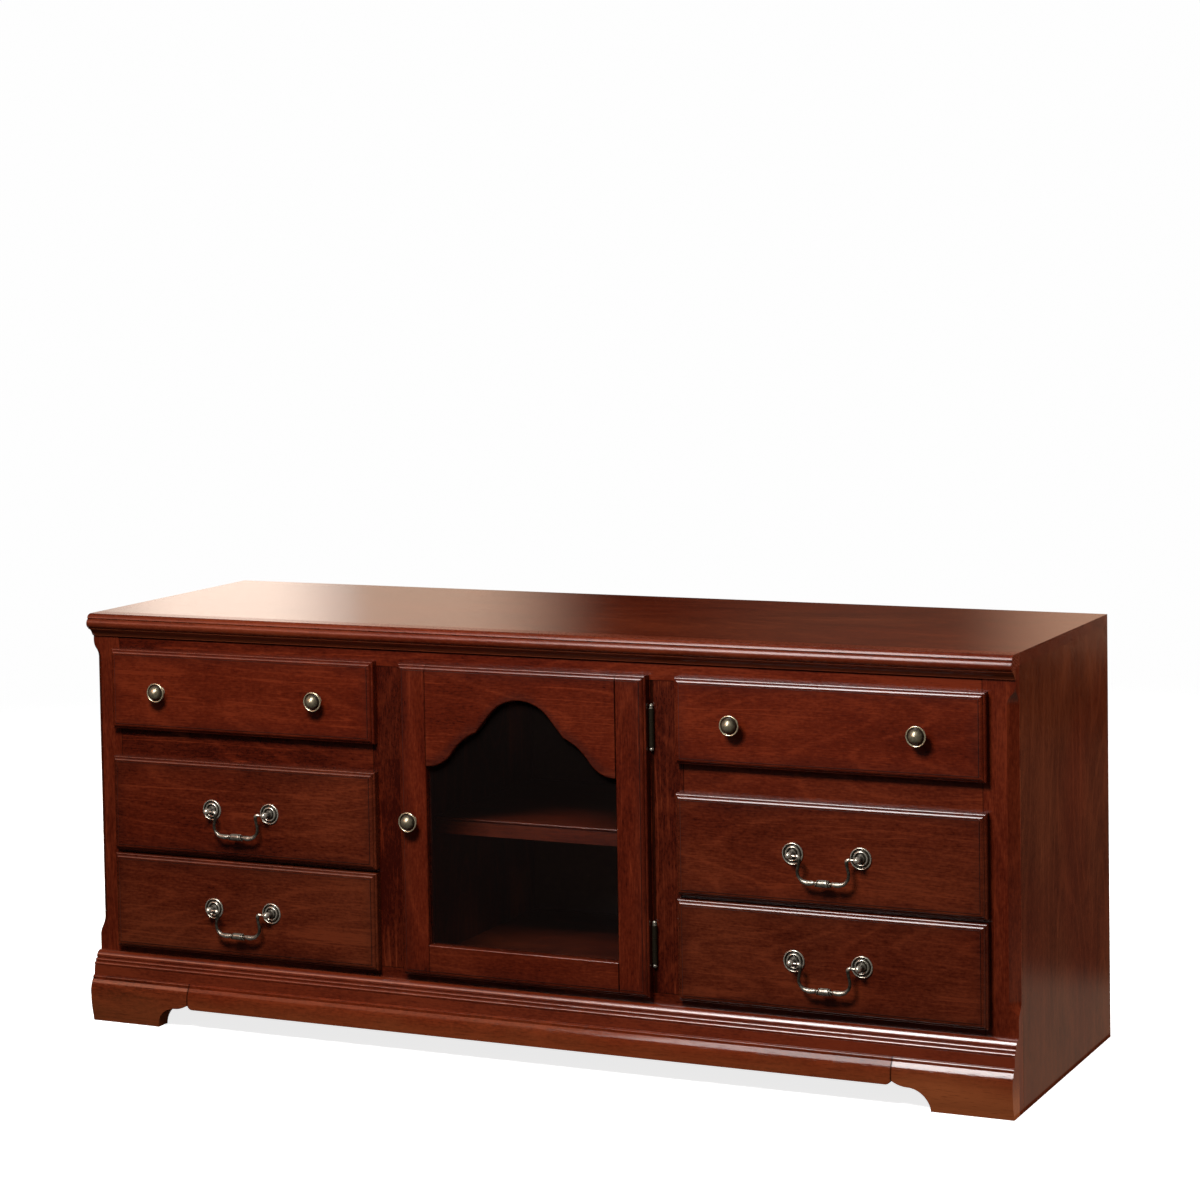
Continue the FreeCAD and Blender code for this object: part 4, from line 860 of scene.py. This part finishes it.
KNOB_SECTION = (
    (-0.5, 0, 0), (-0.5, 7.0, 0), (0.3, 7.4, 0.5), (1.2, 7.2, 0.7), (1.6, 6.2, 0.1), (4.0, 5.3, 0.2),
    (8.0, 5.0, 0.2), (11.5, 6.6, 0.2), (13.6, 10.6, 0.3), (14.6, 13.4, 0.5), (15.4, 15.3, 0.9),
    (16.8, 15.85, 1.0), (18.1, 15.8, 1.0), (18.8, 15.1, 1.0), (18.6, 13.9, 0.9), (17.2, 13.2, 0.0),
    (16.7, 12.5, 0.0), (17.2, 11.9, 0.0), (18.8, 11.5, 0.1), (21.2, 10.5, 0.25), (23.9, 8.2, 0.4),
    (26.0, 4.9, 0.45), (26.9, 1.6, 0.45), (27.0, 0, 0.45),
)


class CABINET_OT_knobs(bpy.types.Operator):
    """Turns the knobs of the upper drawers and the door"""

    bl_idname = "cabinet.knobs"
    bl_label = "Turn knobs"

    def execute(self, context):
        finish = context.scene.cabinet_finish
        metal = cast_metal("knob_metal", finish, finish.knob_bright, lightened="rubbed")
        steps = context.scene.cabinet_hardware.turn_steps
        for side in SIDES:
            place = f"upper_{side}"
            turned_on_face(
                f"knob_pair_{side}", f"knobs_{place}", KNOB_SECTION, f"drawer_front_{place}",
                f"drawer_{place}", metal, steps,
            )
        turned_on_face("knob_door", "door_knob", KNOB_SECTION, "door_stile_left", "door", metal, steps)
        return {"FINISHED"}


ROSETTE_SECTION = (
    (-0.5, 0, 0), (-0.5, 16.4, 0), (0.4, 16.9, 0.5), (1.8, 16.9, 1.0), (2.8, 16.0, 1.0), (2.4, 14.9, 0.5),
    (0.8, 14.3, 0.0), (0.6, 13.2, 0.0), (0.8, 12.1, 0.0), (2.6, 11.6, 0.5), (3.6, 10.5, 1.0),
    (3.2, 9.3, 0.5), (1.4, 8.8, 0.0), (1.2, 7.8, 0.0), (1.4, 6.8, 0.0), (3.2, 6.2, 0.4), (3.8, 5.6, 0.4),
    (5.2, 4.7, 0.2), (9.0, 3.7, 0.2), (11.4, 3.7, 0.4), (12.1, 4.5, 0.8), (12.8, 4.6, 0.8),
    (13.4, 4.2, 0.1), (14.2, 4.5, 0.4), (16.0, 5.3, 0.8), (18.6, 5.3, 1.0), (21.0, 4.3, 1.0),
    (22.7, 2.2, 1.0), (23.0, 0, 1.0),
)

BARREL_SECTION = (
    (-11.0, 0, 0), (-11.0, 3.4, 0), (-10.8, 4.9, 0.3), (-10.1, 5.4, 0.7), (-9.4, 5.1, 0.1),
    (-9.0, 4.3, 0.0), (-8.6, 5.1, 0.0), (-7.8, 5.5, 0.4), (0.0, 5.6, 0.30), (7.8, 5.5, 0.4),
    (8.6, 5.1, 0.0), (9.0, 4.3, 0.0), (9.4, 5.1, 0.1), (10.1, 5.4, 0.7), (10.8, 4.9, 0.3),
    (11.0, 3.4, 0), (11.0, 0, 0),
)
BAR_DROP = 38.0 * MM
BARREL_HALF = 11.6 * MM
BARREL_FLARE = 26.0 * MM

# How far the bail is rubbed: least on its arms, more on the grip below them and where it turns in the posts
ARM_WEAR = 0.10
GRIP_WEAR, GRIP_TOP, GRIP_FADE = 0.42, 27, 20
POST_WEAR, POST_FADE = 0.6, 10


class CABINET_OT_pulls(bpy.types.Operator):
    """Turns the rosettes and bends the bails of the middle and lower drawers"""

    bl_idname = "cabinet.pulls"
    bl_label = "Cast pulls"

    def execute(self, context):
        finish = context.scene.cabinet_finish
        metal = cast_metal("pull_metal", finish, finish.metal_bright, lightened="rubbed")
        sizes = context.scene.cabinet_hardware
        for row in BAIL_ROWS:
            for side in SIDES:
                place = f"{row}_{side}"
                turned_on_face(
                    f"rosettes_{place}", f"bail_posts_{place}", ROSETTE_SECTION, f"drawer_front_{place}",
                    f"drawer_{place}", metal, sizes.turn_steps,
                )
                self.bail(context, place, metal, sizes)
        return {"FINISHED"}

    def bail(self, context, place, metal, sizes):
        """A bent rod with leaf-shaped swellings and a barrel whose ends slope under them."""
        low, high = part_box(f"bail_{place}")
        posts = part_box(f"bail_posts_{place}")
        pivot = Vector(((low[X] + high[X]) / 2, (low[Y] + high[Y]) / 2, (posts[0][Z] + posts[1][Z]) / 2))
        shape = bmesh.new()
        shape.from_mesh(self.rod(context, (high[X] - low[X]) / 2, sizes))
        rubbed = shape.verts.layers.float.new("rubbed")
        for vert in shape.verts:
            drop = -vert.co.z / MM
            on_grip = min(GRIP_WEAR, (drop - GRIP_TOP) / GRIP_FADE)
            vert[rubbed] = max(ARM_WEAR, on_grip, POST_WEAR - drop / POST_FADE)
        bar = Vector((0, 0, -BAR_DROP))
        turn_section(shape, BARREL_SECTION, bar, Vector((1, 0, 0)), Vector((0, 0, 1)), sizes.turn_steps)
        for vert in shape.verts:
            if abs(vert.co.x) < BARREL_HALF:
                vert.co.x *= 1 - (vert.co.z + BAR_DROP) / BARREL_FLARE
        bmesh.ops.translate(shape, vec=pivot, verts=shape.verts)
        piece = finished(f"bail_bent_{place}", shape, metal, levels=1)
        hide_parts(f"bail_{place}")
        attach(piece, f"bail_{place}")

    def rod(self, context, reach, sizes):
        """Mesh of the swan-necked rod from post to post.

        Half of it is given as (x, z) places and handles in millimetres, with the rod's radius there.
        """
        arm, leaf, pin = sizes.arm_radius, sizes.leaf_radius, sizes.pin_radius
        half = (
            ((reach / MM, 0), (-2, 0), pin), ((44, 0), (-1.5, 0), pin), ((41, 0), (-1.2, 0), 1.2 * arm),
            ((37.4, -3), (-0.3, -2), 1.3 * arm), ((37.8, -10), (0.6, -4), arm), ((40.2, -22), (0, -5), arm),
            ((36.5, -32.5), (-2.6, -2.6), 1.1 * arm), ((29.5, -37.4), (-3.4, -0.9), 0.8 * leaf),
            ((21.5, -38.6), (-3.5, 0), leaf), ((14.5, -37.8), (-1.6, 0.4), 0.75 * leaf),
            ((12.6, -37.6), (-0.6, 0), pin), ((0, -38), (-4, 0), pin),
        )
        path = [(Vector((x, 0, z)), Vector((a, 0, c)), r) for (x, z), (a, c), r in half]
        path += [(Vector((-p.x, 0, p.z)), Vector((h.x, 0, -h.z)), r) for p, h, r in reversed(path[:-1])]
        data = bpy.data.curves.new("bail_rod", "CURVE")
        data.dimensions = "3D"
        data.bevel_depth = 1.0
        data.bevel_resolution = 5
        data.resolution_u = 8
        data.use_fill_caps = True
        spline = data.splines.new("BEZIER")
        spline.bezier_points.add(len(path) - 1)
        for point, (place, handle, radius) in zip(spline.bezier_points, path):
            point.co = place * MM
            point.handle_left = (place - handle) * MM
            point.handle_right = (place + handle) * MM
            point.radius = radius
        rod = bpy.data.objects.new("bail_rod", data)
        context.scene.collection.objects.link(rod)
        mesh = bpy.data.meshes.new_from_object(rod.evaluated_get(context.evaluated_depsgraph_get()))
        bpy.data.objects.remove(rod)
        bpy.data.curves.remove(data)
        return mesh


def stage_mesh(name, build, material):
    """A stage object whose mesh a function builds."""
    mesh = bpy.data.meshes.new(name)
    shape = bmesh.new()
    build(shape)
    shape.to_mesh(mesh)
    shape.free()
    mesh.materials.append(material)
    piece = bpy.data.objects.new(name, mesh)
    bpy.context.scene.collection.objects.link(piece)
    return piece


def glowing(name, tint, strength, mask=None):
    """Even glow for the backdrop and reflector cards; a mask fades it over the card."""
    graph = Graph(name)
    glow = graph.mix(mask(graph), BLACK, tint) if mask else rgba(tint)
    return graph.shade(
        Base_Color=rgba(BLACK), Emission_Color=glow, Emission_Strength=strength, Specular_IOR_Level=0.0
    )


def card(name, corners, tint, strength, mask=None):
    """A glowing card that only glossy surfaces reflect."""
    def sheet(shape):
        shape.faces.new([shape.verts.new(corner) for corner in corners])

    piece = stage_mesh(name, sheet, glowing(f"{name}_glow", tint, strength, mask))
    hide_from(piece, "camera", "diffuse", "shadow")


def wall(x_low, x_high, y, z_low, z_high):
    """Corners of an upright card across the room."""
    return ((x_low, y, z_low), (x_high, y, z_low), (x_high, y, z_high), (x_low, y, z_high))


BACK_CARD_PLACE, BACK_CARD_LOW, BACK_CARD_HIGH = 3.2, 0.2, 2.6


def back_wall(x_low, x_high):
    """Corners of an upright card behind the cabinet."""
    return wall(x_low, x_high, BACK_CARD_PLACE, BACK_CARD_LOW, BACK_CARD_HIGH)


def sheet_at(x_low, x_high, y_low, y_high, z):
    """Corners of a level card."""
    return ((x_low, y_low, z), (x_high, y_low, z), (x_high, y_high, z), (x_low, y_high, z))


def area_light(name, watts, place, target, size, hidden="glossy"):
    """A rectangular light at a place, turned to a target and hidden from one kind of ray."""
    data = bpy.data.lights.new(name, "AREA")
    data.shape = "RECTANGLE"
    data.size, data.size_y = size
    data.energy = watts
    light = bpy.data.objects.new(name, data)
    light.location = place
    light.rotation_euler = (Vector(target) - Vector(place)).to_track_quat("-Z", "Y").to_euler()
    hide_from(light, "camera", hidden)
    bpy.context.scene.collection.objects.link(light)
    return light


FLOOR_RADIUS, FLOOR_FADE, FLOOR_GLOW, FLOOR_ROUGHNESS = 4.2, (4.0, 1.2), 0.80, 0.8
FLOOR_MOTTLE_SCALE, FLOOR_MOTTLE_DARK = 2, 0.985
BACKDROP_RADIUS = 15.9
SENSOR_WIDTH = 36


class CABINET_OT_stage(bpy.types.Operator):
    """Builds the floor, backdrop, lights and camera"""

    bl_idname = "cabinet.stage"
    bl_label = "Build stage"

    def execute(self, context):
        stage = context.scene.cabinet_stage
        self.floor(stage)
        self.backdrop(context, stage)
        self.lights(stage)
        self.cards()
        self.camera(context, stage)
        context.scene.view_settings.view_transform = "Standard"
        return {"FINISHED"}

    def floor(self, stage):
        """A pale disc that fades out into the backdrop."""
        graph = Graph("pale_floor")
        mottle = graph.even_noise(FLOOR_MOTTLE_SCALE, detail=3)
        settings = {"operation": "LENGTH"}
        distance = graph.add("ShaderNodeVectorMath", settings, {0: graph.place}, output="Value")
        pale = stage.floor_colour
        material = graph.shade(
            Base_Color=graph.mix(mottle, toned(pale, FLOOR_MOTTLE_DARK), pale), Roughness=FLOOR_ROUGHNESS,
            Specular_IOR_Level=0.0, Emission_Color=rgba(WHITE), Emission_Strength=FLOOR_GLOW,
            Alpha=distance.fade(*FLOOR_FADE),
        )

        def disc(shape):
            bmesh.ops.create_circle(shape, cap_ends=True, segments=64, radius=FLOOR_RADIUS)

        hide_from(stage_mesh("floor", disc, material), "diffuse", "glossy", "shadow")

    def backdrop(self, context, stage):
        """A glowing dome that only the camera sees, and dim surroundings that light the cabinet."""
        def dome(shape):
            bmesh.ops.create_uvsphere(shape, u_segments=48, v_segments=24, radius=BACKDROP_RADIUS)
            bmesh.ops.reverse_faces(shape, faces=shape.faces)

        backdrop = stage_mesh("backdrop", dome, glowing("backdrop_glow", WHITE, stage.backdrop))
        hide_from(backdrop, "diffuse", "glossy", "shadow")
        world = bpy.data.worlds.new("surroundings")
        context.scene.world = world
        world.use_nodes = True
        background = world.node_tree.nodes["Background"]
        background.inputs["Color"].default_value = rgba(WHITE)
        background.inputs["Strength"].default_value = stage.ambient
        world.cycles_visibility.glossy = False

    def lights(self, stage):
        """Soft lights all round, and one that shows only as sheen and leaves out the top board."""
        area_light("key", stage.key_power, (0.05, -2.1, 2.35), target=(0, -0.2, 0.40), size=(0.9, 0.6))
        sheen = area_light(
            "sheen", stage.sheen_power, (-0.42, -2.2, 2.4), target=(0.3, -0.2, 0.5), size=(1.0, 2.3),
            hidden="diffuse",
        )
        kept_off = bpy.data.collections.new("sheen_links")
        sheen.light_linking.receiver_collection = kept_off
        kept_off.objects.link(NODES["top_panel"])
        kept_off.collection_objects[0].light_linking.link_state = "EXCLUDE"
        area_light(
            "overhead", stage.overhead_power, (-0.25, 0.0, 2.7), target=(-0.25, 0.05, 0), size=(1.7, 0.8)
        )
        for name, side in (("right_fill", 1), ("left_fill", -1)):
            place, target = (side * 4.0, 1.2, 1.4), (side * 0.8, 0, 0.35)
            area_light(name, stage.fill_power, place, target, size=(1.5, 1.5))
        area_light("back", stage.back_power, (0.5, 4.0, 2.2), target=(0, 0.2, 0.35), size=(2.0, 1.5))

    def cards(self):
        """Cards that the top, the right end and the metal reflect."""
        def from_left(graph):
            across = graph.axes()[X]
            return across.rise(-2.15, -2.50, 0.42) * across.rise(-3.10, -2.80, 0.50)

        def from_middle(graph):
            return graph.axes()[X].fade(-1.40, -1.90)

        def from_right(graph):
            across = graph.axes()[X]
            return across.fade(-1.40, -0.70) * 0.10 + across.fade(-0.46, -0.06) * 0.90

        def low_on_end(graph):
            return graph.axes()[Y].rise(0.72, 0.48, 0.14)

        card("back_left_sheen", back_wall(-5.0, -2.2), (1.0, 0.82, 0.69), 2.25, from_left)
        card("back_middle_sheen", back_wall(-2.2, -1.4), (1.0, 0.72, 0.53), 0.94, from_middle)
        card("back_right_sheen", back_wall(-1.4, 1.5), (1.0, 0.62, 0.42), 0.82, from_right)
        card("front_left_sheen", wall(-3.4, -0.95, -2.6, 1.7, 3.0), (1.0, 0.42, 0.26), 5.5)
        card("ceiling_sheen", sheet_at(-4.0, 3.0, -5.0, -1.2, 3.6), WHITE, 0.4)
        card("floor_sheen", sheet_at(0.79, 2.4, -0.6, 3.1, 0.004), (1.0, 0.72, 0.52), 0.22, low_on_end)

    def camera(self, context, stage):
        """The camera, with its shifted lens."""
        data = bpy.data.cameras.new("camera")
        data.sensor_width = SENSOR_WIDTH
        data.lens = stage.lens
        data.shift_x, data.shift_y = stage.shift
        camera = bpy.data.objects.new("camera", data)
        yaw = Matrix.Rotation(stage.camera_yaw, 4, "Z")
        pitch = Matrix.Rotation(math.pi / 2 - stage.camera_pitch, 4, "X")
        roll = Matrix.Rotation(stage.camera_roll, 4, "Z")
        camera.matrix_world = Matrix.Translation(stage.camera_place) @ (yaw @ pitch) @ roll
        context.scene.collection.objects.link(camera)
        context.scene.camera = camera


OPERATORS = (
    CABINET_OT_top, CABINET_OT_face_frame, CABINET_OT_base, CABINET_OT_end_panels, CABINET_OT_drawer_fronts,
    CABINET_OT_door, CABINET_OT_inside, CABINET_OT_drawer_boxes, CABINET_OT_fittings, CABINET_OT_knobs,
    CABINET_OT_pulls, CABINET_OT_stage,
)


class CABINET_PT_looks(bpy.types.Panel):
    """Lists the steps that dress the cabinet"""

    bl_idname = "CABINET_PT_looks"
    bl_label = "Media cabinet"
    bl_space_type = "VIEW_3D"
    bl_region_type = "UI"
    bl_category = "Cabinet"

    def draw(self, context):
        for operator in OPERATORS:
            self.layout.operator(operator.bl_idname)


GROUPS = {
    "cabinet_finish": CabinetFinish, "cabinet_hardware": CabinetHardware, "cabinet_stage": CabinetStage
}
CLASSES = (*GROUPS.values(), *OPERATORS, CABINET_PT_looks)


def register():
    """Registers the classes and hangs the property groups on the scene."""
    for group in CLASSES:
        bpy.utils.register_class(group)
    for name, group in GROUPS.items():
        setattr(bpy.types.Scene, name, PointerProperty(type=group))


def unregister():
    """Takes off what register put on."""
    for name in GROUPS:
        delattr(bpy.types.Scene, name)
    for group in reversed(CLASSES):
        bpy.utils.unregister_class(group)


def main():
    """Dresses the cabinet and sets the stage."""
    register()
    for operator in OPERATORS:
        group, name = operator.bl_idname.split(".")
        getattr(getattr(bpy.ops, group), name)()


if __name__ == "__main__":
    main()
